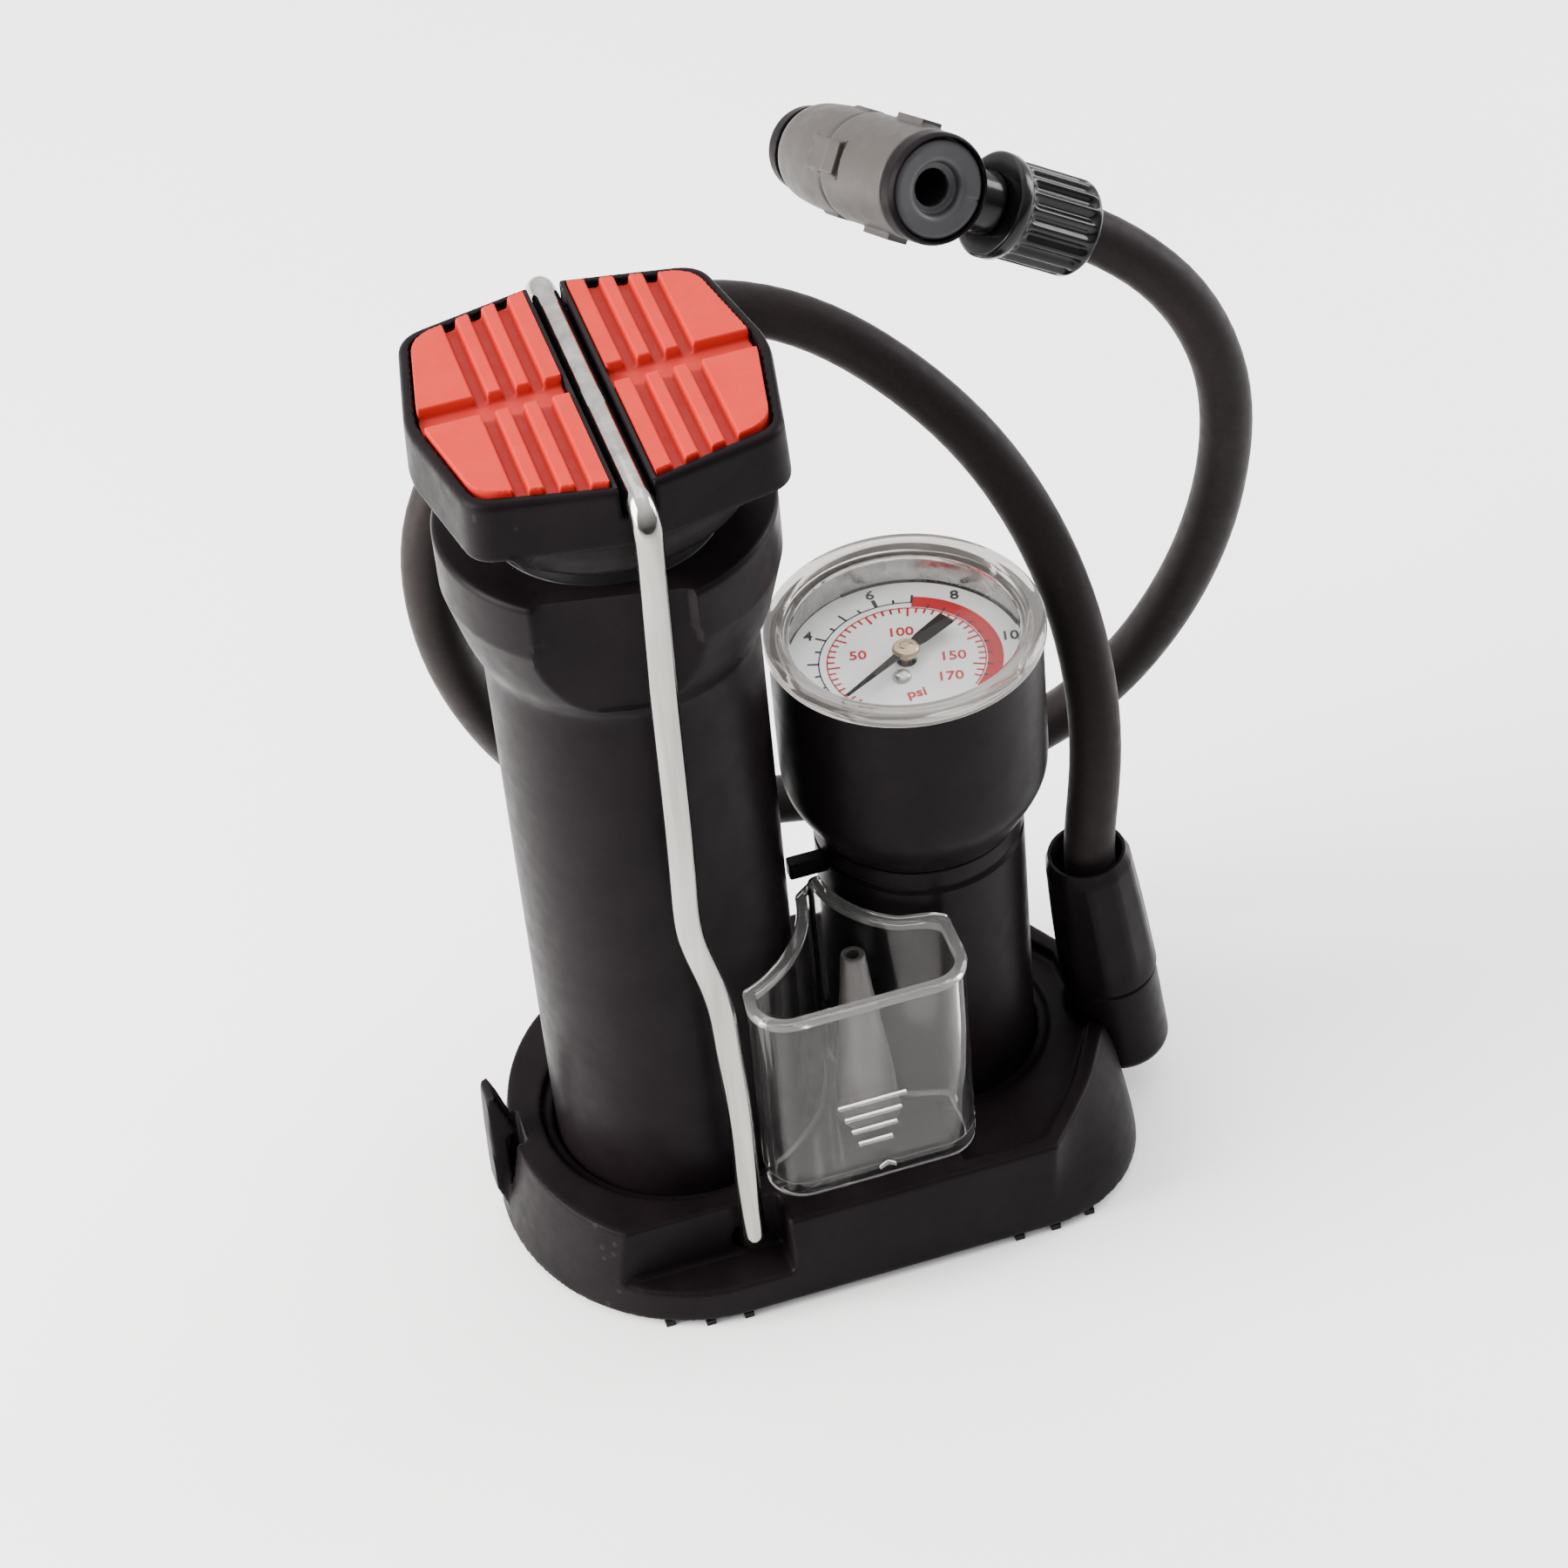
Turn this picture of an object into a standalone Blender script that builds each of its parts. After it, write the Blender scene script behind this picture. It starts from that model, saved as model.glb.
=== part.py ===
"""Compact foot-operated bicycle pump with a pressure gauge, stowed: pedal down, bail wire over it.

Frame: origin on the floor under the barrel's axis, +X towards the hose socket, +Z up.
Sizes below are millimetres; MM turns them into Blender's metres.
"""

import math

import bmesh
import bpy
import numpy as np
from mathutils import Matrix, Vector

MM = 0.001
GAP = 0.3  # clearance between neighbouring pieces

# Barrel and pedal
BARREL_R = 20.0
BORE_R = 17.5
COLLAR_R = 24.4
BARREL_FOOT = 11.0
BARREL_TOP = 138.3
BARREL_FLOOR = 3.0
BALL_R = 2.5
BALL_Z = 9.2
PLUNGER_R = 13.0
PLUNGER_BORE_R = 11.4
PLUNGER_TOP = 150.2
PISTON_LOW = 38.0
PISTON_HIGH = 48.0
PEDAL_LOW = 149.8
PEDAL_TOP = 158.8
BOWL_LOW = 142.3
SEAT_LOW = 156.8
PAD_LOW = SEAT_LOW + GAP
PAD_TOP = 160.2
PAD_INNER = 3.2  # where each pad starts beside the wire
RIB_OUTER = PAD_INNER - GAP
RIB_TOP = 159.5
WIRE_GROOVE_HALF = 2.35
WIRE_GROOVE_LOW = 154.9
POCKET_ANGLES = (-102, 78)  # the collar's two finger pockets, degrees
POCKET_HALF = 11.2
POCKET_Z = 128.0

# Base
BASE_LOW = 1.3
BASE_TOP = 18.3
BASE_HALF = 33.0
BASE_LEFT = 30.5
BASE_DRAFT = 3.3
COVER_TOP = 4.3
WELL_R = 22.2
WELL_DEPTH = 1.2
PLATFORM_DEPTH = 2.0
HOOK_WIDTH = 5.0
FOOT_PADS = (("foot_pad_left", -6.0), ("foot_pad_right", 50.5))  # name and middle x
FOOT_HALF_X = 8.5
FOOT_HALF_Y = 26.0
FOOT_PITCH = 6.0
FOOT_TOP = 2.8
SCREW_X = (12.5, 32.5)
SCREW_Y = 20.2
DUCT_LOW = 4.6
DUCT_TOP = 8.4
DUCT_HALF = 8.0
DUCT_LEFT = -9.0
DUCT_RIGHT = 61.7
PORT_Z = 9.4
PORT_TOP = 12.0
COLUMN_FOOT = 14.3

# Bail wire
WIRE_R = 2.0
BAIL_X = 3.0
BAIL_Z = 10.8
BAIL_HALF = 28.3
BAIL_TOP = 157.6
BAIL_BEND = 4.0
RECESS_Y = 25.7
RECESS_LOW = 7.5
RECESS_RIGHT = 8.0

# Gauge
GAUGE_X = 42.56
GAUGE_Y = 1.78
COLUMN_R = 16.2
COLUMN_WELL_R = 18.4
COLUMN_WELL_DEPTH = 0.7
CUP_R = 20.4
CUP_BORE_R = 19.3
LENS_R = 21.0
LENS_TOP = 101.3
DIAL_R = 18.9
CUP_LOW = 65.6
CUP_TOP = 98.6
DIAL_Z = 93.3
NEEDLE_Z = 95.0

# Accessory bin
BIN_LOW = 18.6
BIN_TOP = 57.3
BIN_WALL = 1.5

# Hose
HOSE_R = 4.0
SOCKET_FOOT = Vector((72.8, -3.0, 6.3))
SOCKET_DIRECTION = Vector((-0.114, 0.0, 0.993)).normalized()
HOSE_ROUTE = (
    (69.2, -3, 39), (68.3, -3, 48), (69, -2.5, 57), (70.5, -1, 67), (71.5, 5, 82), (69.5, 14, 96.5),
    (63.5, 24, 110), (53, 32, 122.5), (39.5, 38.5, 132), (23.5, 41.5, 136.5), (6.5, 42, 134),
    (-8.5, 40.5, 126), (-18.5, 38.5, 113), (-21, 37, 96), (-17.5, 37, 78), (-10.5, 39.5, 61.5),
    (-1, 43, 47.5), (11, 46, 37.5), (25.5, 46.5, 32), (41.5, 44, 31), (57, 39, 35), (69.5, 33, 43),
    (80, 27, 54.5), (88.5, 22, 69), (95.5, 19, 86), (99, 17.5, 103.5), (98.5, 17.5, 120),
    (92, 20, 135.5), (79.3, 23, 147), (71.1, 22.3, 152.5),
)

# Valve head: its front face, the way that face looks, and the way its branch points
HEAD_FRONT = Vector((55.7, 13.35, 166.9))
HEAD_FACING = Vector((0.244, -0.912, 0.33)).normalized()
BRANCH_DIRECTION = Vector((0.826, 0.078, -0.56)).normalized()
BRANCH_DEPTH = 8.0
HEAD_R = 8.0
HEAD_LENGTH = 40.4
NUT_MOUTH = 29.8  # along the branch, from the head's axis
NUT_START = 13.8

ROUND = 32  # sides of a large round piece
SMALL = 16  # sides of a small round piece

PARTS = "foot_pump"
CUTTERS = "cutters"
UP = Vector((0, 0, 1))


# ---------------------------------------------------------------- scene, materials, basic shapes


def clear_scene():
    for obj in list(bpy.data.objects):
        bpy.data.objects.remove(obj, do_unlink=True)
    for name in (PARTS, CUTTERS):
        collection = bpy.data.collections.new(name)
        bpy.context.scene.collection.children.link(collection)


def material(name, colour, roughness, metallic=0.0, transmission=0.0):
    made = bpy.data.materials.new(name)
    made.use_nodes = True
    shader = made.node_tree.nodes["Principled BSDF"]
    shader.inputs["Base Color"].default_value = (*colour, 1.0)
    shader.inputs["Roughness"].default_value = roughness
    shader.inputs["Metallic"].default_value = metallic
    shader.inputs["Transmission Weight"].default_value = transmission
    return made


def place(obj, name, finish, parent=None):
    """Names the object, gives it its material and puts it in the parts' collection."""
    obj.name = name
    obj.data.name = name
    for collection in list(obj.users_collection):
        collection.objects.unlink(obj)
    bpy.data.collections[PARTS].objects.link(obj)
    obj.data.materials.clear()
    obj.data.materials.append(finish)
    if parent is not None:
        bpy.context.view_layer.update()
        obj.parent = parent
        obj.matrix_parent_inverse = parent.matrix_world.inverted()
    return obj


def helper(obj):
    """Makes the object a cutter: kept, but neither shown nor built."""
    for collection in list(obj.users_collection):
        collection.objects.unlink(obj)
    bpy.data.collections[CUTTERS].objects.link(obj)
    obj.hide_render = True
    obj.display_type = "WIRE"
    return obj


def axis_empty(name, point):
    empty = bpy.data.objects.new(name, None)
    empty.location = Vector(point) * MM
    bpy.data.collections[PARTS].objects.link(empty)
    return empty


def aim(obj, point, direction):
    """Puts the object's origin at the point, with its own +Z along the direction."""
    turn = Vector(direction).to_track_quat("Z", "Y").to_matrix().to_4x4()
    obj.matrix_world = Matrix.Translation(Vector(point) * MM) @ turn
    return obj


def turned(profile, point=(0, 0, 0), direction=UP, sides=ROUND):
    """A turned piece. The profile's (radius, height) points run down the outside, top to bottom;
    a profile that stays off the axis is closed into a ring."""
    mesh = bpy.data.meshes.new("turned")
    points = [(r * MM, 0, z * MM) for r, z in profile]
    edges = [(i, i + 1) for i in range(len(points) - 1)]
    if min(r for r, _ in profile) > 0:
        edges.append((len(points) - 1, 0))
    mesh.from_pydata(points, edges, [])
    obj = bpy.data.objects.new("turned", mesh)
    bpy.context.scene.collection.objects.link(obj)
    screw = obj.modifiers.new("turn", "SCREW")
    screw.steps = sides
    screw.render_steps = sides
    screw.use_merge_vertices = True
    screw.merge_threshold = 1e-5
    screw.use_smooth_shade = True
    return aim(obj, point, direction)


def rod(radius, low, high, point=(0, 0, 0), direction=UP, sides=SMALL):
    return turned([(0, high), (radius, high), (radius, low), (0, low)], point, direction, sides)


def ring(outer, inner, low, high, point=(0, 0, 0), direction=UP, sides=ROUND):
    profile = [(inner, high), (outer, high), (outer, low), (inner, low)]
    return turned(profile, point, direction, sides)


def box(low, high):
    """A box between two opposite corners."""
    bpy.ops.mesh.primitive_cube_add(size=1)
    obj = bpy.context.active_object
    low = Vector(low)
    high = Vector(high)
    obj.data.transform(Matrix.Diagonal([*((high - low) * MM), 1.0]))
    obj.location = (low + high) / 2 * MM
    return obj


def slab(outline, low, high):
    """A flat outline in plan, given height."""
    curve = bpy.data.curves.new("slab", "CURVE")
    curve.dimensions = "2D"
    curve.fill_mode = "BOTH"
    curve.extrude = (high - low) / 2 * MM
    spline = curve.splines.new("POLY")
    spline.points.add(len(outline) - 1)
    for point, (x, y) in zip(spline.points, outline):
        point.co = (x * MM, y * MM, 0, 1)
    spline.use_cyclic_u = True
    obj = bpy.data.objects.new("slab", curve)
    bpy.context.scene.collection.objects.link(obj)
    obj.location.z = (low + high) / 2 * MM
    return meshed(obj)


def tube(route, radius, sides_level=2):
    """A round bar along a list of points."""
    curve = bpy.data.curves.new("tube", "CURVE")
    curve.dimensions = "3D"
    curve.bevel_depth = radius * MM
    curve.bevel_resolution = sides_level
    curve.use_fill_caps = True
    spline = curve.splines.new("POLY")
    spline.points.add(len(route) - 1)
    for point, place_of in zip(spline.points, route):
        point.co = (*(Vector(place_of) * MM), 1)
    obj = bpy.data.objects.new("tube", curve)
    bpy.context.scene.collection.objects.link(obj)
    return obj


def meshed(obj):
    """The curve as a closed mesh, its caps welded, so that it can be cut, joined or a cutter."""
    bpy.context.view_layer.update()
    graph = bpy.context.evaluated_depsgraph_get()
    mesh = bpy.data.meshes.new_from_object(obj.evaluated_get(graph))
    solid = bmesh.new()
    solid.from_mesh(mesh)
    bmesh.ops.remove_doubles(solid, verts=solid.verts, dist=1e-6)
    bmesh.ops.recalc_face_normals(solid, faces=solid.faces)
    solid.to_mesh(mesh)
    solid.free()
    made = bpy.data.objects.new(obj.name, mesh)
    made.matrix_world = obj.matrix_world
    bpy.context.scene.collection.objects.link(made)
    bpy.data.objects.remove(obj, do_unlink=True)
    return made


def boolean(obj, other, operation):
    helper(other)
    step = obj.modifiers.new(operation.lower(), "BOOLEAN")
    step.operation = operation
    step.object = other
    return obj


def cut(obj, *cutters):
    for cutter in cutters:
        boolean(obj, cutter, "DIFFERENCE")
    return obj


def join(obj, *others):
    for other in others:
        boolean(obj, other, "UNION")
    return obj


def loft(rings):
    """A closed solid through rings of equally many points, lowest ring first."""
    solid = bmesh.new()
    rows = [[solid.verts.new(Vector(p) * MM) for p in one] for one in rings]
    count = len(rows[0])
    for lower, upper in zip(rows, rows[1:]):
        for i in range(count):
            j = (i + 1) % count
            solid.faces.new((lower[i], lower[j], upper[j], upper[i]))
    solid.faces.new(rows[-1])
    solid.faces.new(rows[0][::-1])
    bmesh.ops.recalc_face_normals(solid, faces=solid.faces)
    bmesh.ops.triangulate(solid, faces=solid.faces)
    mesh = bpy.data.meshes.new("loft")
    solid.to_mesh(mesh)
    solid.free()
    obj = bpy.data.objects.new("loft", mesh)
    bpy.context.scene.collection.objects.link(obj)
    return obj


def bevelled(obj, width, segments=1):
    step = obj.modifiers.new("edges", "BEVEL")
    step.width = width * MM
    step.segments = segments
    step.limit_method = "ANGLE"
    step.angle_limit = math.radians(40)
    return obj


def arc(centre_x, centre_y, radius, first, last, steps):
    """Points of an arc in plan, angles in degrees."""
    angles = np.radians(np.linspace(first, last, steps + 1))
    return [(centre_x + radius * math.cos(a), centre_y + radius * math.sin(a)) for a in angles]


def smooth_curve(points, spacing):
    """Points at an even spacing on the natural cubic spline through the given points."""
    points = np.array(points, float)
    chord = np.r_[0, np.cumsum(np.linalg.norm(np.diff(points, axis=0), axis=1))]
    step = np.diff(chord)
    count = len(points)
    system = np.eye(count)
    rise = np.zeros((count, 3))
    for i in range(1, count - 1):
        system[i, i - 1 : i + 2] = step[i - 1], 2 * (step[i - 1] + step[i]), step[i]
        slope_after = (points[i + 1] - points[i]) / step[i]
        slope_before = (points[i] - points[i - 1]) / step[i - 1]
        rise[i] = 6 * (slope_after - slope_before)
    bend = np.linalg.solve(system, rise)

    def at(distance):
        i = min(int(np.searchsorted(chord, distance, side="right")) - 1, count - 2)
        h = step[i]
        before = (chord[i + 1] - distance) / h
        after = (distance - chord[i]) / h
        line = before * points[i] + after * points[i + 1]
        bow = (before**3 - before) * bend[i] + (after**3 - after) * bend[i + 1]
        return line + bow * h * h / 6

    steps = max(2, round(chord[-1] / spacing))
    return [at(distance) for distance in np.linspace(0, chord[-1], steps + 1)]


def coil(radius, low, high, turns, wire, centre=(0, 0), per_turn=10):
    """A helical spring with flat-lying ends, as a round bar."""
    points = []
    count = int(turns * per_turn)
    rest = 0.75 * per_turn  # points that lie flat at each end
    for i in range(count + 1):
        angle = 2 * math.pi * i / per_turn
        share = min(1, max(0, (i - rest) / (count - 2 * rest)))
        climb = low + wire + (high - low - 2 * wire) * share
        x = centre[0] + radius * math.cos(angle)
        y = centre[1] + radius * math.sin(angle)
        points.append((x, y, climb))
    return tube(points, wire, 1)


# ---------------------------------------------------------------- base and what is in it


def base_ring(left, half, corner, z):
    """The base's outline at one height: a half ellipse on the left, given corners on the right."""
    ellipse = [
        (-left * math.cos(a), -half * math.sin(a), z)
        for a in np.radians(np.linspace(-90, 90, 23))
    ]
    front = [(x, y, z) for x, y in corner]
    back = [(x, -y, z) for x, y in reversed(corner)]
    return ellipse + front + back


def build_base(plastic):
    low_corner = arc(50, -13, 20, -90, 0, 4)
    high_corner = [(51.5, -32.2), (56.2, -26.5), (60.8, -20.7), (64.4, -14.8), (67.8, -8.9)]
    base = loft([
        base_ring(BASE_LEFT, BASE_HALF, low_corner, BASE_LOW),
        base_ring(BASE_LEFT - BASE_DRAFT, BASE_HALF - 0.8, high_corner, BASE_TOP),
    ])

    hook_profile = [(-29.6, 3), (-31.2, 8), (-31, 20), (-30.6, 28), (-29.4, 28.6), (-28.4, 26),
                    (-26.6, 19.8), (-28.3, 19), (-28.3, 5), (-27, 3)]
    hook = slab(hook_profile, 0, HOOK_WIDTH)
    hook.matrix_world = Matrix.Rotation(math.radians(90), 4, "X")
    hook.location.y = HOOK_WIDTH * MM
    join(cut(base, box((-28.6, -1, 6), (-25.4, 6, 30))), hook)

    platform = [(37, -29.4), (50.2, -29.4), (58.6, -19.4), (65.2, -8.2),
                (65.2, 8.2), (58.6, 19.4), (50.2, 29.4), (37, 29.4)]
    cut(base, slab(platform, BASE_TOP - PLATFORM_DEPTH, BASE_TOP + 2))

    for side in (-1, 1):
        inner, outer = sorted((side * RECESS_Y, side * (BASE_HALF + 5)))
        cut(base, box((-BASE_LEFT - 6, inner, RECESS_LOW), (RECESS_RIGHT, outer, BASE_TOP + 6)))
        pivot = rod(WIRE_R + 0.9, 21.3, 31, (BAIL_X, 0, BAIL_Z), (0, side, 0))
        cut(base, pivot)

    duct_low = (DUCT_LEFT - GAP, -DUCT_HALF - GAP, -3)
    duct_high = (DUCT_RIGHT + GAP, DUCT_HALF + GAP, DUCT_TOP + GAP)
    cut(base, box(duct_low, duct_high))
    cut(base, box((55.7, -7.3, -2), (DUCT_RIGHT + 2 * GAP, 7.3, PORT_TOP + GAP)))
    cut(base, box((6.7, -24.3, -1), (37.8, 24.3, COVER_TOP + GAP)))
    for _, x in FOOT_PADS:
        half_x = FOOT_HALF_X + GAP
        half_y = FOOT_HALF_Y + GAP
        cut(base, box((x - half_x, -half_y, 0), (x + half_x, half_y, FOOT_TOP + GAP)))

    well = rod(WELL_R, BASE_TOP - WELL_DEPTH, BASE_TOP + 5, sides=ROUND)
    socket = rod(BARREL_R + GAP, BARREL_FOOT - GAP, BASE_TOP + 6, sides=ROUND)
    outlet = rod(5.3, DUCT_TOP - 2, BARREL_FOOT + 1)
    gauge_at = (GAUGE_X, GAUGE_Y, 0)
    column_well_low = BASE_TOP - PLATFORM_DEPTH - COLUMN_WELL_DEPTH
    column_well = rod(COLUMN_WELL_R, column_well_low, BASE_TOP + 4, gauge_at, sides=ROUND)
    column_socket = rod(COLUMN_R + GAP, COLUMN_FOOT - GAP, BASE_TOP + 6, gauge_at, sides=ROUND)
    stem_hole = rod(3.0, DUCT_TOP - 2, COLUMN_FOOT + 1, gauge_at)
    cut(base, well, socket, outlet, column_well, join(column_socket, stem_hole))

    notch = rod(7.9, -12, 40, SOCKET_FOOT, SOCKET_DIRECTION, 24)
    port = rod(2.5, 58, 70, (0, SOCKET_FOOT.y, PORT_Z), (1, 0, 0))
    cut(base, notch, port)

    for x, y in screw_places():
        cut(base, rod(1.5, COVER_TOP - 1, 12.4, (x, y, 0), sides=10))
    return place(base, "base", plastic)


def screw_places():
    return [(x, y) for x in SCREW_X for y in (-SCREW_Y, SCREW_Y)]


def build_base_inside(plastic, rubber, steel):
    cover = join(
        box((7, -24, COVER_TOP - 1.2), (37.5, 24, COVER_TOP)),
        box((DUCT_LEFT, -DUCT_HALF, COVER_TOP - 1.2), (DUCT_RIGHT, DUCT_HALF, COVER_TOP)),
    )
    for x, y in screw_places():
        cut(cover, rod(1.6, 0, 10, (x, y, 0), sides=12))
    place(cover, "base_cover", plastic)

    for number, (x, y) in enumerate(screw_places(), 1):
        screw = turned([
            (0, 11.8), (0.8, 11.2), (1.2, 10.2), (1.2, 2.8), (2.8, 2.8), (2.8, 2.0), (1.9, 1.4), (0, 1.4),
        ], (x, y, 0), sides=10)
        place(screw, f"base_screw_{number}", steel)

    rib_half = 0.75
    for name, middle in FOOT_PADS:
        pad = box((middle - FOOT_HALF_X, -FOOT_HALF_Y, 1.6), (middle + FOOT_HALF_X, FOOT_HALF_Y, FOOT_TOP))
        for x in (middle - FOOT_PITCH, middle, middle + FOOT_PITCH):
            reach = rib_reach(x)
            join(pad, box((x - rib_half, -FOOT_HALF_Y, 0), (x + rib_half, FOOT_HALF_Y, 2.2)))
            join(pad, box((x - rib_half, -reach, 0), (x + rib_half, reach, 1.0)))
        place(pad, name, rubber)

    manifold = box((DUCT_LEFT, -DUCT_HALF, DUCT_LOW), (DUCT_RIGHT, DUCT_HALF, DUCT_TOP))
    join(manifold, box((56, -7, DUCT_LOW + 1), (DUCT_RIGHT + GAP / 2, 7, PORT_TOP)))
    groove = box((-4, -5, DUCT_LOW - 1), (60.6, 4, DUCT_LOW + 2.2))
    valve_hole = rod(3.2, 0, 20)
    stem_hole = rod(1.6, 0, 20, (GAUGE_X, GAUGE_Y, 0))
    riser = rod(1.6, DUCT_LOW, PORT_Z, (58.4, SOCKET_FOOT.y, 0), sides=12)
    outlet = rod(1.4, 58, 66, (0, SOCKET_FOOT.y, PORT_Z), (1, 0, 0), 12)
    cut(manifold, groove, valve_hole, stem_hole, riser, outlet)
    place(manifold, "air_manifold", plastic)


def rib_reach(x):
    """How far a foot rib runs out, just short of the base's outline above it."""
    if x < 0:
        return BASE_HALF * math.sqrt(1 - (x / BASE_LEFT) ** 2) - 0.3
    if x > 50:
        return 13 + math.sqrt(20**2 - (x - 50) ** 2) - 0.3
    return BASE_HALF - 0.3


# ---------------------------------------------------------------- barrel, pedal and bail


def build_barrel(plastic, bush_plastic, steel):
    barrel = turned([
        (BORE_R, BARREL_TOP), (COLLAR_R - 0.6, BARREL_TOP), (COLLAR_R, BARREL_TOP - 0.8),
        (COLLAR_R, 129.3), (23.5, 125.6), (22, 119.8), (20.6, 117), (BARREL_R, 115.5),
        (BARREL_R, BARREL_FOOT), (5, BARREL_FOOT), (5, DUCT_TOP + GAP), (3.2, DUCT_TOP + GAP),
        (3.2, BARREL_FOOT + 0.5), (1.5, BARREL_FOOT + 0.5), (1.5, BARREL_FOOT + BARREL_FLOOR),
        (BORE_R, BARREL_FOOT + BARREL_FLOOR),
    ])
    for angle in POCKET_ANGLES:
        pocket = pocket_cutter()
        pocket.matrix_world = Matrix.Rotation(math.radians(angle), 4, "Z") @ pocket.matrix_world
        cut(barrel, pocket)
    place(barrel, "pump_barrel", plastic)

    bush = turned([
        (PLUNGER_R + GAP, 137.6), (BORE_R - GAP, 137.6), (BORE_R - GAP, 129), (PLUNGER_R + GAP, 129),
    ])
    place(bush, "guide_bush", bush_plastic)
    floor = BARREL_FOOT + BARREL_FLOOR + GAP
    place(coil(13.5, floor, PISTON_LOW - GAP, 6, 0.9), "return_spring", steel)
    place(coil(1.7, DUCT_LOW, 6.4, 2.5, 0.25), "check_valve_spring", steel)


def pocket_cutter():
    """A lens-sided pocket in the collar, facing +X, down to just proud of the barrel."""
    side = arc(0, POCKET_Z, POCKET_HALF, -35, 35, 6)
    top_half = POCKET_HALF * 0.82
    top = [(top_half, BARREL_TOP + 2), (-top_half, BARREL_TOP + 2)]
    outline = side + top + [(-x, z) for x, z in reversed(side)]
    cutter = slab(outline, BARREL_R + 0.5, COLLAR_R + 6)
    facing_x = Matrix(((0, 0, 1, 0), (1, 0, 0, 0), (0, 1, 0, 0), (0, 0, 0, 1)))
    cutter.matrix_world = facing_x @ cutter.matrix_world
    return cutter


def tread_outline(corner_x, corner_y, end_x, side_y):
    """Eight points: four corners, with each side drawn out to a shallow point."""
    return [
        (end_x, 0), (corner_x, corner_y), (0, side_y), (-corner_x, corner_y),
        (-end_x, 0), (-corner_x, -corner_y), (0, -side_y), (corner_x, -corner_y),
    ]


def build_pedal(plastic, rubber, seal_rubber, steel, slide):
    head = bevelled(loft([
        [(x, y, PEDAL_LOW) for x, y in tread_outline(22.4, 20.8, 26.4, 25.4)],
        [(x, y, PEDAL_TOP) for x, y in tread_outline(22, 20.5, 26, 25.2)],
    ]), 0.5)
    bowl = turned([(0, PEDAL_LOW + 1), (23, PEDAL_LOW + 1), (23, 148.6), (21, BOWL_LOW), (0, BOWL_LOW)])
    join(head, bowl)
    cut(head, slab(tread_outline(20.8, 18.8, 24.3, 24.0), SEAT_LOW, PEDAL_TOP + 4))
    join(head, box((-RIB_OUTER, -24.0, SEAT_LOW - 1), (RIB_OUTER, 24.0, RIB_TOP)))
    groove = box((-WIRE_GROOVE_HALF, -40, WIRE_GROOVE_LOW), (WIRE_GROOVE_HALF, 40, PEDAL_TOP + 4))
    tube_socket = rod(PLUNGER_R + GAP, 130, PLUNGER_TOP + GAP, sides=ROUND)
    cut(head, groove, tube_socket)
    place(head, "pedal_head", plastic, slide)

    for name, side in (("tread_pad_left", -1), ("tread_pad_right", 1)):
        pad = slab(tread_outline(20.5, 18.5, 24.0, 23.7), PAD_LOW, PAD_TOP)
        keep_low, keep_high = sorted((side * PAD_INNER, side * 40))
        boolean(pad, box((keep_low, -40, 150), (keep_high, 40, 170)), "INTERSECT")
        cut(pad, box((-40, -1.9, 158.9), (40, 1.9, 170)))
        for middle in (6.6, 10.6, 14.6):
            low, high = sorted((side * (middle - 0.8), side * (middle + 0.8)))
            cut(pad, box((low, -40, 159.3), (high, 40, 170)))
        place(pad, name, rubber, slide)

    place(ring(PLUNGER_R, PLUNGER_BORE_R, PISTON_HIGH + GAP, PLUNGER_TOP), "plunger_tube", steel, slide)
    piston = turned([
        (1.9, PISTON_HIGH), (17.0, PISTON_HIGH), (17.0, 45), (14.8, 45), (14.8, 41.4), (17.0, 41.4),
        (17.0, PISTON_LOW), (1.9, PISTON_LOW),
    ])
    place(piston, "piston", plastic, slide)
    place(ring(17.2, 15.1, 41.7, 44.7), "piston_seal", seal_rubber, slide)
    screw = turned([
        (0, 49.6), (1.2, 48.6), (1.6, 47), (1.6, PISTON_LOW - GAP), (3.6, PISTON_LOW - GAP),
        (3.6, 36.2), (2.6, 35.4), (0, 35.4),
    ], sides=SMALL)
    place(screw, "piston_screw", steel, slide)


def bail_route():
    """The wire's centre line: a turned-in end, a leg with its jog, the crossbar, and back down."""
    leg = [(BAIL_X, 43.3), (2.5, 55), (2.2, 62), (0.9, 70.5), (-0.9, 79), (-1.1, 90), (-0.6, 123)]
    corner = arc(BAIL_HALF - BAIL_BEND, BAIL_Z + BAIL_BEND, BAIL_BEND, -90, 0, 4)
    crown = arc(BAIL_HALF - BAIL_BEND, BAIL_TOP - BAIL_BEND, BAIL_BEND, 0, 90, 5)
    half = [(BAIL_X, 22, BAIL_Z)] + [(BAIL_X, y, z) for y, z in corner]
    half += [(x, BAIL_HALF, z) for x, z in leg]
    half += [(0, y, z) for y, z in crown]
    return half + [(x, -y, z) for x, y, z in reversed(half)]


def build_bail(chrome, swing):
    place(tube(bail_route(), WIRE_R), "bail_wire", chrome, swing)


# ---------------------------------------------------------------- gauge


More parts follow.
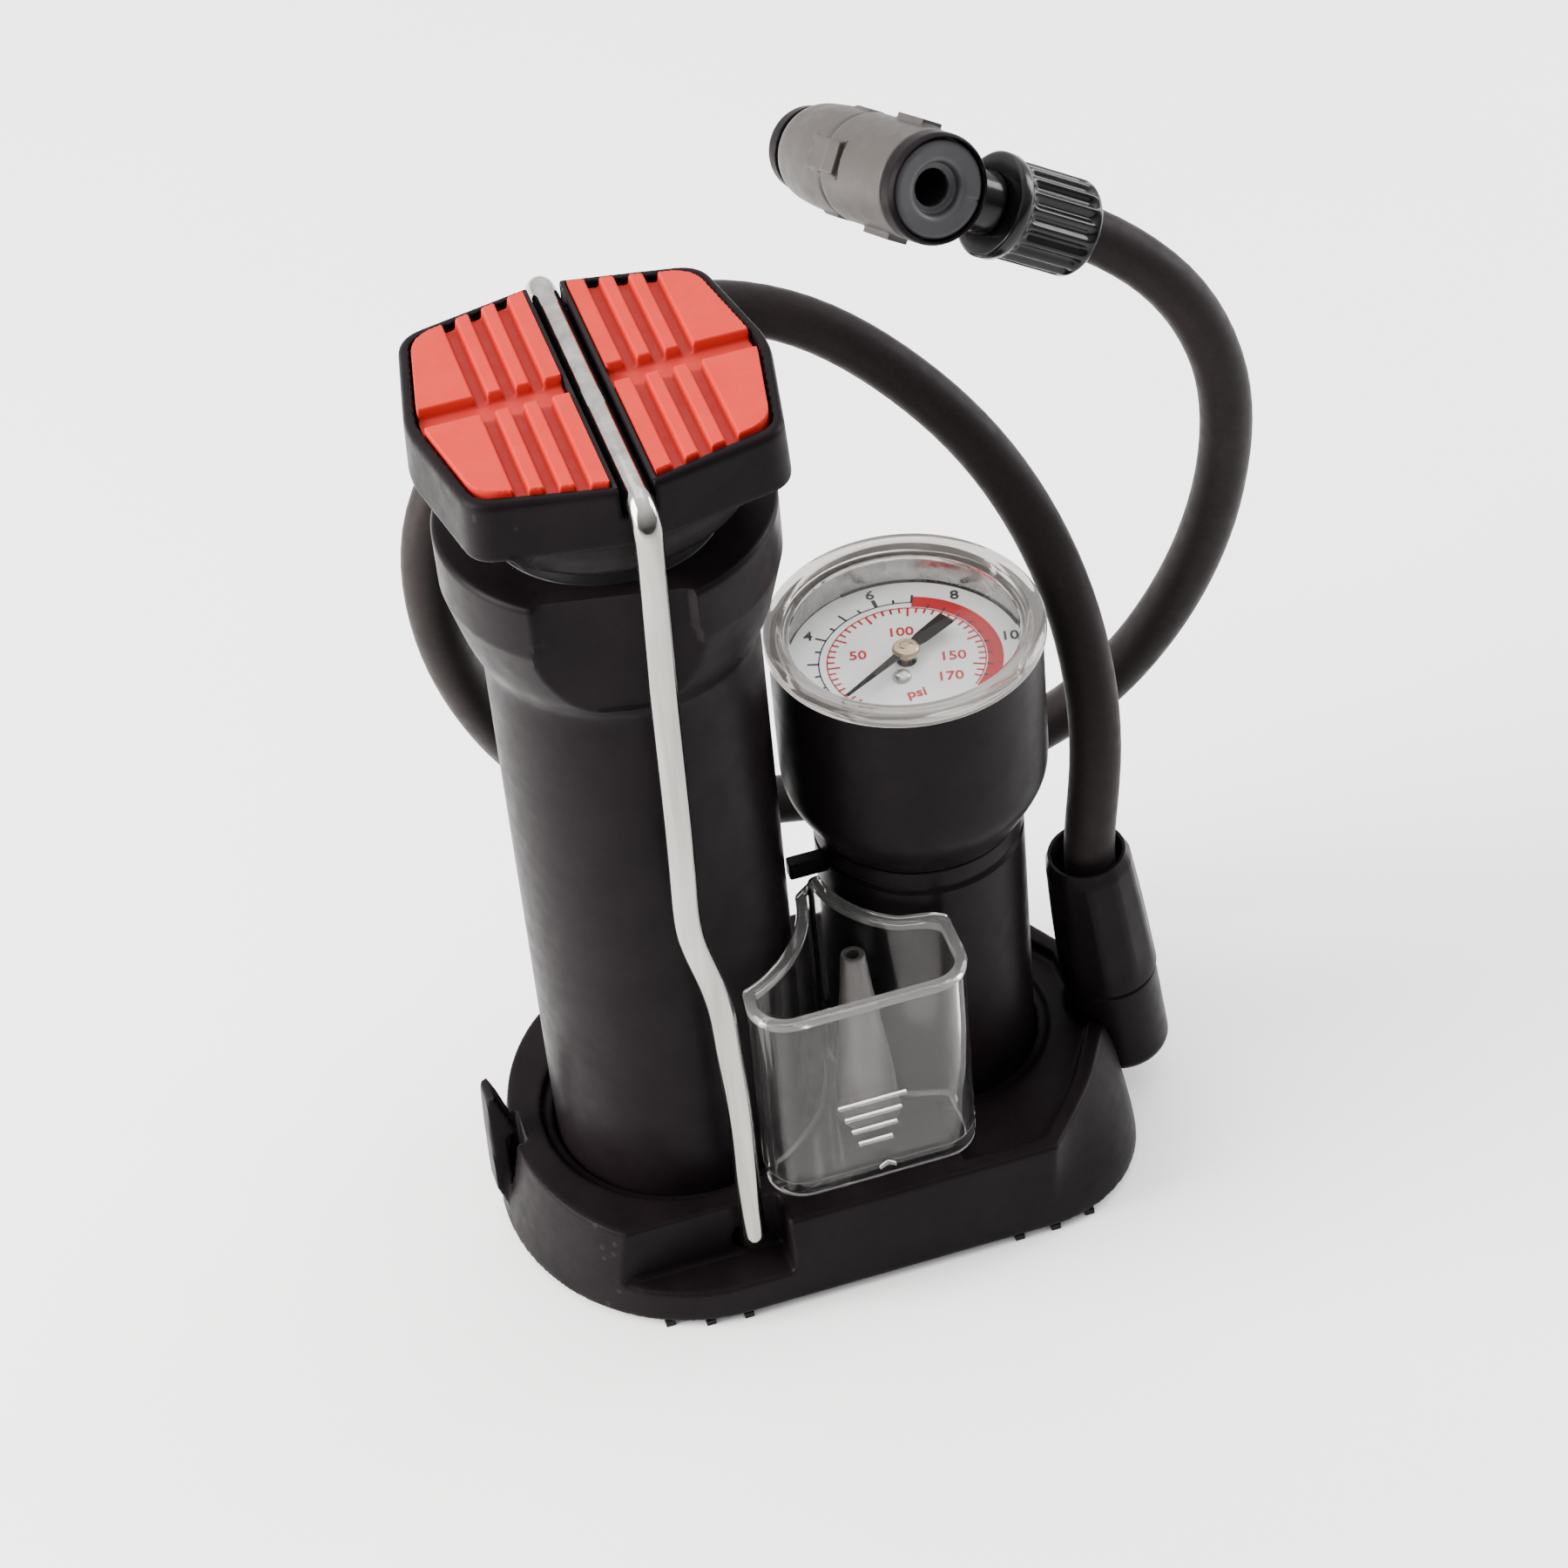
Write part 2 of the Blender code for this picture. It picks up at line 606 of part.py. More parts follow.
def build_gauge(plastic, brass, white, clear, turn):
    here = (GAUGE_X, GAUGE_Y, 0)
    column_bore = 13.8
    column_floor = COLUMN_FOOT + 2.5
    column_top = CUP_LOW - 0.4
    column = turned([
        (column_bore, column_top), (COLUMN_R, column_top), (COLUMN_R, 62), (COLUMN_R - 0.5, 61.7),
        (COLUMN_R - 0.5, 61.2), (COLUMN_R, 60.9), (COLUMN_R, COLUMN_FOOT), (3.2, COLUMN_FOOT),
        (3.2, column_floor), (column_bore, column_floor),
    ], here)
    lug = box((20.9, -1.1, 58.4), (30, 1.1, 61.4))
    lug_trim = rod(15, 50, 70, here, sides=ROUND)
    place(join(column, cut(lug, lug_trim)), "gauge_column", plastic)

    cup = turned([
        (CUP_BORE_R, CUP_TOP), (CUP_R, CUP_TOP), (CUP_R, 76.3), (20.2, 73), (18.4, 69.3), (16.4, CUP_LOW),
        (3.2, CUP_LOW), (3.2, 68), (15.6, 68), (17.8, 72.5), (CUP_BORE_R, 76.3),
    ], here)
    place(cup, "gauge_cup", plastic)
    place(ring(2.6, 1.2, 8.9, 74, here, sides=SMALL), "gauge_stem", brass)

    spiral = []
    for i in range(33):
        angle = 2 * math.pi * i / 14
        radius = 4.6 + 0.36 * i
        spiral.append((GAUGE_X + radius * math.cos(angle), GAUGE_Y + radius * math.sin(angle), 82))
    place(tube(spiral, 1.1, 1), "bourdon_coil", brass)

    dial = turned([
        (DIAL_R - 0.6, 97.4), (DIAL_R, 97.4), (DIAL_R, DIAL_Z - 0.8), (1.5, DIAL_Z - 0.8), (1.5, DIAL_Z),
        (DIAL_R - 0.6, DIAL_Z),
    ], here)
    place(dial, "dial_plate", white)

    lens = turned([
        (0, 99.7), (17.6, 99.7), (18.6, LENS_TOP), (LENS_R - 0.6, LENS_TOP), (LENS_R, LENS_TOP - 0.6),
        (LENS_R, CUP_TOP + GAP), (CUP_BORE_R - GAP, CUP_TOP + GAP), (CUP_BORE_R - GAP, 98.1), (0, 98.1),
    ], here)
    place(lens, "gauge_lens", clear)

    needle = turned([(0, 96.4), (2.2, 96.4), (2.2, NEEDLE_Z), (0, NEEDLE_Z)], here, sides=SMALL)
    pointer = slab(
        [(13, 0.15), (1.5, 0.7), (-1.5, 0.8), (-3.4, 1.2), (-9.2, 1.3),
         (-9.2, -1.3), (-3.4, -1.2), (-1.5, -0.8), (1.5, -0.7), (13, -0.15)],
        NEEDLE_Z + 0.2, NEEDLE_Z + 0.6,
    )
    turn_to = Matrix.Translation(Vector(here) * MM) @ Matrix.Rotation(math.radians(-150), 4, "Z")
    pointer.matrix_world = turn_to @ pointer.matrix_world
    place(join(needle, pointer), "needle", plastic, turn)
    place(rod(0.8, 79, NEEDLE_Z - GAP, here, sides=12), "needle_spindle", brass, turn)


# ---------------------------------------------------------------- accessory bin


def bin_outline(grow):
    """The bin in plan, curved round the barrel and the gauge column, moved out by grow."""
    barrel_arc = arc(0, 0, 21.3 - grow, -68, -8, 9)
    gauge_arc = arc(GAUGE_X, GAUGE_Y, 17.3 - grow, 186, 240, 7)
    left = 7.2 - grow
    right = 41.0 + grow
    front = -29.2 - grow
    corner = 6.0 + grow
    outline = [point for point in barrel_arc if point[0] > left + 0.4]
    outline += gauge_arc
    outline += [(39.2 + grow, -14.4 + grow), (right, -15.6 + grow)]
    outline += arc(right - corner, front + corner, corner, 0, -90, 4)
    outline += arc(left + corner, front + corner, corner, -90, -180, 4)
    outline += [(left, -20.6 + grow)]
    return outline


def build_bin(clear, grey, slide):
    body = slab(bin_outline(0), BIN_LOW, BIN_TOP)
    inside = slab(bin_outline(-BIN_WALL), BIN_LOW + 1.8, BIN_TOP + 5)
    cut(body, inside)
    for step in range(4):
        half = 5.8 - 1.05 * step
        z = 36.6 - 2.9 * step
        join(body, box((23.4 - half, -29.8, z), (23.4 + half, -28.6, z + 1.2)))
    place(body, "accessory_bin", clear, slide)

    foot = Vector((26.0, -16.1, BIN_LOW + 2.4))
    tip = Vector((26.0, -15.2, 54.0))
    length = (tip - foot).length
    nozzle = turned([
        (1.0, length), (2.0, length), (2.3, length - 5), (4.6, 8), (4.9, 0.6), (4.6, 0), (2.6, 0), (1.0, 12),
    ], foot, tip - foot, 20)
    place(nozzle, "cone_nozzle", grey, slide)


# ---------------------------------------------------------------- hose and valve head


def build_hose_socket(plastic):
    elbow = turned([(0, 3), (2, 3), (2, 17.6), (7.5, 17.6), (7.5, 0.6), (6.9, 0), (0, 0)],
                   SOCKET_FOOT, SOCKET_DIRECTION, 24)
    stub = rod(2.2, DUCT_RIGHT + 2 * GAP, 70, (0, SOCKET_FOOT.y, PORT_Z), (1, 0, 0))
    way = rod(1.3, 55, 73, (0, SOCKET_FOOT.y, PORT_Z), (1, 0, 0), 12)
    place(cut(join(elbow, stub), way), "hose_elbow", plastic)

    collar = turned([
        (5.2, 44), (6.4, 44), (7.2, 42.6), (7.7, 17.9), (2, 17.9), (2, 29), (4.7, 29), (4.7, 40),
    ], SOCKET_FOOT, SOCKET_DIRECTION, 10)
    place(collar, "hose_collar", plastic)


def build_hose(rubber, plastic):
    place(tube(smooth_curve(HOSE_ROUTE, 13.5), HOSE_R, 2), "hose", rubber)

    root = HEAD_FRONT - HEAD_FACING * BRANCH_DEPTH
    nut = turned([
        (4.5, NUT_MOUTH), (6.6, NUT_MOUTH), (7.2, 29.1), (7.2, 16.4), (7.8, 16.4), (7.8, NUT_START),
        (4.5, NUT_START),
    ], root, BRANCH_DIRECTION, 24)
    place(nut, "hose_nut", plastic)


def build_valve_head(grey, plastic, rubber, brass):
    back = -HEAD_FACING
    root = HEAD_FRONT + back * BRANCH_DEPTH
    front_cap = ring(HEAD_R, 7.3, 0, 3.0, HEAD_FRONT, back, 28)
    place(front_cap, "valve_front_cap", plastic)
    grommet = turned([
        (3.4, 9.8), (6.3, 9.8), (6.3, 2.9), (7.0, 2.9), (7.0, 0.4), (3.4, 0.4),
    ], HEAD_FRONT, back, 24)
    place(grommet, "valve_grommet", rubber)

    body = turned([
        (3.8, 36.2), (6.9, 36.2), (7.6, 34.4), (7.7, 21.2), (HEAD_R, 20.4), (HEAD_R, 3.3),
        (6.6, 3.3), (6.6, 10.1), (3.8, 10.1),
    ], HEAD_FRONT, back, 28)
    branch = rod(4.6, 6.9, NUT_START - GAP, root, BRANCH_DIRECTION, 20)
    way = rod(1.4, 5, NUT_START + 1, root, BRANCH_DIRECTION, 12)
    place(cut(join(body, branch), way), "valve_body", grey)

    rear_cap = turned([(0, HEAD_LENGTH), (5.6, HEAD_LENGTH), (6.4, 39.5), (6.4, 36.5), (0, 36.5)],
                      HEAD_FRONT, back, 24)
    place(rear_cap, "valve_rear_cap", plastic)
    depressor = turned([(0, 21.2), (3.5, 21.2), (3.5, 19.4), (0.9, 19.4), (0.9, 10.7), (0, 10.7)],
                       HEAD_FRONT, back, 12)
    place(depressor, "valve_depressor", brass)


# ---------------------------------------------------------------- the whole pump


def main():
    clear_scene()
    black = material("black_plastic", (0.018, 0.014, 0.017), 0.42)
    gloss = material("gloss_black_plastic", (0.012, 0.011, 0.012), 0.22)
    rubber = material("black_rubber", (0.022, 0.018, 0.02), 0.55)
    red = material("red_rubber", (0.72, 0.06, 0.03), 0.55)
    chrome = material("chrome", (0.78, 0.77, 0.74), 0.08, metallic=1.0)
    steel = material("steel", (0.56, 0.56, 0.55), 0.3, metallic=1.0)
    brass = material("brass", (0.72, 0.5, 0.2), 0.3, metallic=1.0)
    white = material("dial_white", (0.75, 0.76, 0.76), 0.4)
    clear = material("clear_plastic", (0.95, 0.95, 0.94), 0.05, transmission=1.0)
    grey = material("grey_plastic", (0.16, 0.145, 0.135), 0.45)
    nozzle_grey = material("nozzle_plastic", (0.35, 0.34, 0.33), 0.35, transmission=0.3)
    bush = material("bush_plastic", (0.02, 0.02, 0.022), 0.4)

    pedal_slide = axis_empty("pedal_axis", (0, 0, BARREL_TOP))
    bail_swing = axis_empty("bail_axis", (BAIL_X, 0, BAIL_Z))
    needle_turn = axis_empty("needle_axis", (GAUGE_X, GAUGE_Y, NEEDLE_Z))
    bin_slide = axis_empty("bin_axis", (24, -20, BIN_LOW))
    ball_slide = axis_empty("ball_axis", (0, 0, BALL_Z))

    build_base(black)
    build_base_inside(black, rubber, steel)
    build_barrel(black, bush, steel)
    half_turn = np.linspace(0, math.pi, 9)
    ball = turned([(BALL_R * math.sin(a), BALL_Z + BALL_R * math.cos(a)) for a in half_turn], sides=14)
    place(ball, "check_ball", steel, ball_slide)
    build_pedal(black, red, rubber, steel, pedal_slide)
    build_bail(chrome, bail_swing)
    build_gauge(black, brass, white, clear, needle_turn)
    build_bin(clear, nozzle_grey, bin_slide)
    build_hose_socket(black)
    build_hose(rubber, gloss)
    build_valve_head(grey, black, rubber, brass)


main()
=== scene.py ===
"""Looks of the compact foot pump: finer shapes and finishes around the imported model.

Sizes are millimetres in the model's frame; MM turns them into metres.
"""

import math

import bmesh
import bpy
import numpy as np
from mathutils import Matrix, Vector


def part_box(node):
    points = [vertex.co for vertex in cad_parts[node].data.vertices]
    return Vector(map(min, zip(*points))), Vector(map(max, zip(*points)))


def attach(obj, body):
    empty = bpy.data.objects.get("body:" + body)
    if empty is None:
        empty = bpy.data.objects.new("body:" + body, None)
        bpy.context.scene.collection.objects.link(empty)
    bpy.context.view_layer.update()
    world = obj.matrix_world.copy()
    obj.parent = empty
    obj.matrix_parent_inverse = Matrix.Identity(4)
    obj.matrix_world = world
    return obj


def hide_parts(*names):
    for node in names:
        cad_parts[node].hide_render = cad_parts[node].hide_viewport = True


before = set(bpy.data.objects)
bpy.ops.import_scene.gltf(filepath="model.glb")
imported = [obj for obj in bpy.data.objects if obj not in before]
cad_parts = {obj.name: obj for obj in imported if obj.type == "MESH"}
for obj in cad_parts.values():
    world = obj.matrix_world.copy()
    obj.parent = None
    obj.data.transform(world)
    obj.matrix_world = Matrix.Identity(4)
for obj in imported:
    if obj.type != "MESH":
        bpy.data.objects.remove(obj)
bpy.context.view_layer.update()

MM = 0.001
UP = Vector((0, 0, 1))
GAP = 0.3  # clearance between neighbouring pieces
SIDES = 96  # sides of a large round piece


def low(node):
    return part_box(node)[0] / MM


def high(node):
    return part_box(node)[1] / MM


# ---------------------------------------------------------------- sizes, from the frame

BARREL_R = 20.0
BORE_R = 17.5
COLLAR_R = high("pump_barrel").x
BARREL_TOP = high("pump_barrel").z
BARREL_FOOT = 11.0
BASE_LOW = low("base").z
BASE_TOP = 18.3
BASE_HALF = 33.0
BASE_LEFT = 30.5
BASE_DRAFT = 3.3
PEDAL_TOP = high("pedal_head").z
PEDAL_LOW = 149.8
PAD_TOP = high("tread_pad_left").z
PAD_INNER = 3.2  # where the pads start beside the wire
GAUGE = Vector((
    (low("gauge_cup").x + high("gauge_cup").x) / 2,
    (low("gauge_cup").y + high("gauge_cup").y) / 2,
    0,
))
CUP_R = 20.4
CUP_LOW = low("gauge_cup").z
CUP_TOP = high("gauge_cup").z
COLUMN_R = 16.2
COLUMN_FOOT = low("gauge_column").z
DIAL_Z = 93.3
NEEDLE_Z = low("needle").z
BAIL_X = 3.0
BAIL_Z = 10.8
BAIL_HALF = 28.3
WIRE_R = 2.0
RECESS_Y = 25.7
BIN_LOW = low("accessory_bin").z
BIN_TOP = high("accessory_bin").z
BIN_WALL = 1.5

HOSE_R = 4.0
SOCKET_FOOT = Vector((72.8, -3.0, 6.3))
SOCKET_DIRECTION = Vector((-0.114, 0.0, 0.993)).normalized()
HOSE_ROUTE = (
    (69.2, -3, 39), (68.3, -3, 48), (69, -2.5, 57), (70.5, -1, 67), (71.5, 5, 82), (69.5, 14, 96.5),
    (63.5, 24, 110), (53, 32, 122.5), (39.5, 38.5, 132), (23.5, 41.5, 136.5), (6.5, 42, 134),
    (-8.5, 40.5, 126), (-18.5, 38.5, 113), (-21, 37, 96), (-17.5, 37, 78), (-10.5, 39.5, 61.5),
    (-1, 43, 47.5), (11, 46, 37.5), (25.5, 46.5, 32), (41.5, 44, 31), (57, 39, 35), (69.5, 33, 43),
    (80, 27, 54.5), (88.5, 22, 69), (95.5, 19, 86), (99, 17.5, 103.5), (98.5, 17.5, 120),
    (92, 20, 135.5), (79.3, 23, 147), (71.1, 22.3, 152.5),
)

HEAD_FRONT = Vector((55.7, 13.35, 166.9))
HEAD_FACING = Vector((0.244, -0.912, 0.33)).normalized()
BRANCH_DIRECTION = Vector((0.826, 0.078, -0.56)).normalized()
BRANCH_DEPTH = 8.0
HEAD_R = 8.0


# ---------------------------------------------------------------- camera, light and floor


def add_camera():
    """The picture's view, solved against the pump's own proportions."""
    right = Vector((0.95246, -0.2955, -0.07411))
    up = Vector((0.25289, 0.63122, 0.73322))
    look = Vector((0.16988, 0.71711, -0.67594))
    place = Vector((-0.09035, -0.47281, 0.5230))
    data = bpy.data.cameras.new("camera")
    data.sensor_width = 36.0
    data.lens = 101.2166
    data.clip_start = 0.01
    camera = bpy.data.objects.new("camera", data)
    turn = Matrix((right, up, -look)).transposed().to_4x4()
    camera.matrix_world = Matrix.Translation(place) @ turn
    bpy.context.scene.collection.objects.link(camera)
    bpy.context.scene.camera = camera


def add_lamp(name, place, target, size, power, colour=(1, 1, 1)):
    data = bpy.data.lights.new(name, "AREA")
    data.shape = "RECTANGLE"
    data.size, data.size_y = size
    data.energy = power
    data.color = colour
    lamp = bpy.data.objects.new(name, data)
    way = Vector(target) - Vector(place)
    lamp.matrix_world = Matrix.Translation(place) @ way.to_track_quat("-Z", "Y").to_matrix().to_4x4()
    bpy.context.scene.collection.objects.link(lamp)


def add_studio():
    middle = (0.02, 0.0, 0.09)
    add_lamp("key", (-0.80, 0.05, 0.45), middle, (0.5, 0.8), 36.0, (1.0, 0.965, 0.93))
    add_lamp("top", (0.1, 0.55, 1.25), middle, (1.2, 0.9), 8.0)
    add_lamp("fill", (0.85, 0.15, 0.35), middle, (0.3, 0.5), 9.0, (0.96, 0.95, 1.0))
    world = bpy.data.worlds.new("studio")
    bpy.context.scene.world = world
    world.use_nodes = True
    tree = world.node_tree
    direction = tree.nodes.new("ShaderNodeTexCoord").outputs["Generated"]
    upward = tree.nodes.new("ShaderNodeVectorMath")
    upward.operation = "DOT_PRODUCT"
    upward.inputs[1].default_value = (0.0, 0.5, 0.866)
    tree.links.new(direction, upward.inputs[0])
    glow = tree.nodes.new("ShaderNodeMapRange")
    for socket, number in (("From Min", -0.3), ("From Max", 0.8), ("To Min", 0.15), ("To Max", 2.6)):
        glow.inputs[socket].default_value = number
    tree.links.new(upward.outputs["Value"], glow.inputs["Value"])
    tree.links.new(glow.outputs["Result"], tree.nodes["Background"].inputs["Strength"])
    tree.nodes["Background"].inputs["Color"].default_value = (1.0, 1.0, 1.0, 1.0)

    mesh = bpy.data.meshes.new("floor")
    reach = 3.0
    mesh.from_pydata([(-reach, -reach, 0), (reach, -reach, 0), (reach, reach, 0), (-reach, reach, 0)],
                     [], [(0, 1, 2, 3)])
    floor = bpy.data.objects.new("floor", mesh)
    bpy.context.scene.collection.objects.link(floor)
    paint = Finish("floor_paper", (0.93, 0.93, 0.925), 0.6)
    paint.mottle((0.92, 0.92, 0.915), 40)
    mesh.materials.append(paint.material)


# ---------------------------------------------------------------- finishes


class Finish:
    """A procedural material. Lengths such as a grain's size are in millimetres."""

    def __init__(self, name, colour, roughness, metallic=0.0):
        self.material = bpy.data.materials.new(name)
        self.material.use_nodes = True
        self.tree = self.material.node_tree
        self.shader = self.tree.nodes["Principled BSDF"]
        self.colour = self.node("ShaderNodeRGB").outputs[0]
        self.colour.default_value = (*colour, 1)
        self.set("Roughness", roughness)
        self.set("Metallic", metallic)
        self.heights = []
        self.link(self.colour, self.shader.inputs["Base Color"])
        self.place = self.node("ShaderNodeTexCoord").outputs["Object"]

    def node(self, kind):
        return self.tree.nodes.new(kind)

    def link(self, source, target):
        self.tree.links.new(source, target)

    def set(self, socket, value):
        self.shader.inputs[socket].default_value = value

    def noise(self, size, detail=2.0, stretch=(1, 1, 1)):
        """Noise whose lumps are about size millimetres across, longer along an axis by its stretch."""
        mapping = self.node("ShaderNodeMapping")
        mapping.inputs["Scale"].default_value = [1 / s for s in stretch]
        self.link(self.place, mapping.inputs["Vector"])
        made = self.node("ShaderNodeTexNoise")
        made.inputs["Scale"].default_value = 1 / (size * MM)
        made.inputs["Detail"].default_value = detail
        self.link(mapping.outputs[0], made.inputs["Vector"])
        return made.outputs["Fac"]

    def ranged(self, value, first, last, start=0.3, end=0.7):
        made = self.node("ShaderNodeMapRange")
        for socket, number in (("From Min", start), ("From Max", end), ("To Min", first), ("To Max", last)):
            made.inputs[socket].default_value = number
        self.link(value, made.inputs["Value"])
        return made.outputs["Result"]

    def mix(self, share, colour):
        """Lays the colour over what is there, by share."""
        made = self.node("ShaderNodeMix")
        made.data_type = "RGBA"
        self.link(share, made.inputs["Factor"])
        self.link(self.colour, made.inputs["A"])
        made.inputs["B"].default_value = (*colour, 1)
        self.colour = made.outputs["Result"]
        self.link(self.colour, self.shader.inputs["Base Color"])

    def mottle(self, colour, size, stretch=(1, 1, 1), amount=1.0):
        self.mix(self.ranged(self.noise(size, 3.0, stretch), 0.0, amount), colour)

    def worn_edges(self, colour, amount):
        geometry = self.node("ShaderNodeNewGeometry")
        self.mix(self.ranged(geometry.outputs["Pointiness"], 0.0, amount, 0.55, 0.62), colour)

    def below(self, full, none, colour):
        """Lays the colour over what lies low: all of it under one height, none above the other."""
        apart = self.node("ShaderNodeSeparateXYZ")
        self.link(self.place, apart.inputs[0])
        self.mix(self.ranged(apart.outputs["Z"], 1.0, 0.0, full * MM, none * MM), colour)

    def rough(self, first, last, size, stretch=(1, 1, 1)):
        self.link(self.ranged(self.noise(size, 4.0, stretch), first, last), self.shader.inputs["Roughness"])

    def bump(self, size, depth, detail=2.0, stretch=(1, 1, 1)):
        """Adds relief of the given size and depth to the surface."""
        made = self.node("ShaderNodeBump")
        made.inputs["Distance"].default_value = depth * MM
        made.inputs["Strength"].default_value = 1.0
        self.link(self.noise(size, detail, stretch), made.inputs["Height"])
        if self.heights:
            self.link(self.heights[-1], made.inputs["Normal"])
        self.heights.append(made.outputs["Normal"])
        self.link(made.outputs["Normal"], self.shader.inputs["Normal"])

    def see_through(self):
        """Lets lamps shine through, so that what is inside is lit."""
        path = self.node("ShaderNodeLightPath")
        clear = self.node("ShaderNodeBsdfTransparent")
        both = self.node("ShaderNodeMixShader")
        self.link(path.outputs["Is Shadow Ray"], both.inputs["Fac"])
        self.link(self.shader.outputs[0], both.inputs[1])
        self.link(clear.outputs[0], both.inputs[2])
        self.link(both.outputs[0], self.tree.nodes["Material Output"].inputs["Surface"])


def black_plastic(name, grain=0.35, depth=0.018, roughness=(0.36, 0.48)):
    """Satin moulded plastic: warm black, a fine spark-eroded grain and slightly polished edges."""
    made = Finish(name, (0.0036, 0.0024, 0.0031), 0.42)
    made.mottle((0.0056, 0.004, 0.0048), 9)
    made.worn_edges((0.018, 0.015, 0.0165), 0.5)
    made.set("Specular IOR Level", 0.04)
    made.rough(*roughness, 3)
    made.bump(grain, depth)
    made.bump(6, 0.03)
    return made.material


def gloss_plastic(name):
    made = Finish(name, (0.003, 0.0026, 0.003), 0.2)
    made.mottle((0.0045, 0.004, 0.0043), 5)
    made.worn_edges((0.009, 0.0085, 0.0085), 0.3)
    made.set("Specular IOR Level", 0.17)
    made.rough(0.14, 0.26, 2)
    made.bump(0.9, 0.006)
    return made.material


def hose_rubber(name):
    """Matt rubber with handling marks."""
    made = Finish(name, (0.0075, 0.0052, 0.0056), 0.55)
    made.mottle((0.011, 0.0078, 0.008), 14)
    made.mottle((0.02, 0.016, 0.0155), 0.8, amount=0.2)
    made.set("Specular IOR Level", 0.06)
    made.rough(0.46, 0.62, 2.5)
    made.bump(0.3, 0.012)
    made.set("Sheen Weight", 0.03)
    return made.material


def grip_rubber(name):
    """The tread's orange-red rubber, lighter on its sharp edges; painted shade darkens the ridge sides and the
    grooves below the ridge tops.
    """
    made = Finish(name, (0.40, 0.0115, 0.007), 0.6)
    made.mottle((0.43, 0.0155, 0.0095), 6)
    made.worn_edges((0.50, 0.036, 0.021), 0.6)
    # painted shade: the ridge sides and groove floors get darker downward from the ridge tops, as if less lit from
    # above
    made.below(PAD_TOP - 1.5, PAD_TOP - 0.6, (0.30, 0.012, 0.0095))
    made.set("Specular IOR Level", 0.12)
    made.rough(0.45, 0.62, 2)
    made.bump(0.28, 0.016)
    return made.material


def chrome(name, stretch=(1, 1, 14)):
    """Bright plating over drawn wire: faint draw lines and small dull patches."""
    made = Finish(name, (0.36, 0.352, 0.33), 0.1, 1.0)
    made.mottle((0.22, 0.213, 0.197), 2.5, stretch)
    made.rough(0.06, 0.17, 1.2, stretch)
    made.bump(0.5, 0.004, stretch=stretch)
    return made.material


def bare_metal(name, colour, other, roughness):
    made = Finish(name, colour, roughness, 1.0)
    made.mottle(other, 3)
    made.rough(roughness - 0.08, roughness + 0.1, 1.0)
    made.bump(0.4, 0.005)
    return made.material


def clear_plastic(name, haze, index, roughness=(0.03, 0.09), tint=(0.93, 0.92, 0.91)):
    """Clear styrene: scuffed, with the milky share of light that haze gives."""
    made = Finish(name, tint, 0.05)
    made.mottle(tuple(0.92 * c for c in tint), 7)
    made.rough(*roughness, 2.5)
    made.bump(9, 0.03)
    made.set("Transmission Weight", 1.0 - haze)
    made.set("IOR", index)
    made.set("Specular IOR Level", 0.15)
    made.see_through()
    return made.material


def cloudy_plastic(name):
    """The nozzle's translucent grey polythene."""
    made = Finish(name, (0.034, 0.0315, 0.0305), 0.35)
    made.mottle((0.044, 0.0405, 0.039), 4)
    made.rough(0.28, 0.42, 2)
    made.bump(0.6, 0.01)
    made.set("Subsurface Weight", 0.25)
    made.set("Subsurface Radius", (1.0, 0.9, 0.85))
    made.set("Subsurface Scale", 0.002)
    return made.material


def plain_plastic(name, colour, other, roughness, grain=0.3, depth=0.012, specular=0.5):
    made = Finish(name, colour, roughness)
    made.set("Specular IOR Level", specular)
    made.mottle(other, 6)
    made.worn_edges(tuple(min(1, 1.35 * c) for c in other), 0.4)
    made.rough(roughness - 0.06, roughness + 0.07, 2)
    made.bump(grain, depth)
    return made.material


# ---------------------------------------------------------------- shapes


def arc(centre_x, centre_y, radius, first, last, steps):
    """Points of an arc, angles in degrees."""
    angles = np.radians(np.linspace(first, last, steps + 1))
    return [(centre_x + radius * math.cos(a), centre_y + radius * math.sin(a)) for a in angles]


def rounded(outline, radius, steps=4, closed=False):
    """The outline with its corners eased. A third number on a point is that corner's own radius."""
    points = [Vector(p[:2]) for p in outline]
    count = len(points)
    eased = []
    for i, point in enumerate(points):
        if not closed and i in (0, count - 1):
            eased.append(tuple(point))
            continue
        before = points[i - 1] - point
        after = points[(i + 1) % count] - point
        own = outline[i][2] if len(outline[i]) > 2 else radius
        start = point + before.normalized() * min(own, 0.46 * before.length)
        end = point + after.normalized() * min(own, 0.46 * after.length)
        for t in np.linspace(0, 1, steps + 1):
            eased.append(tuple(start * (1 - t) ** 2 + point * (2 * t * (1 - t)) + end * t * t))
    return eased


def mesh_object(name, points, faces):
    """A closed mesh, in millimetres, with its normals turned outward."""
    solid = bmesh.new()
    corners = [solid.verts.new(Vector(p) * MM) for p in points]
    for face in faces:
        solid.faces.new([corners[i] for i in face])
    bmesh.ops.recalc_face_normals(solid, faces=solid.faces)
    mesh = bpy.data.meshes.new(name)
    solid.to_mesh(mesh)
    solid.free()
    obj = bpy.data.objects.new(name, mesh)
    bpy.context.scene.collection.objects.link(obj)
    return obj


def skin(name, rows, ringed=False):
    """A solid through closed rows of equally many points. Its ends are capped, or joined if ringed."""
    count = len(rows[0])
    points = [p for row in rows for p in row]
    faces = []
    pairs = len(rows) if ringed else len(rows) - 1
    for i in range(pairs):
        upper = (i + 1) % len(rows) * count
        for j in range(count):
            k = (j + 1) % count
            faces.append((i * count + j, i * count + k, upper + k, upper + j))
    if not ringed:
        faces.append(tuple(range(count)))
        faces.append(tuple(range(len(points) - count, len(points))))
    return mesh_object(name, points, faces)


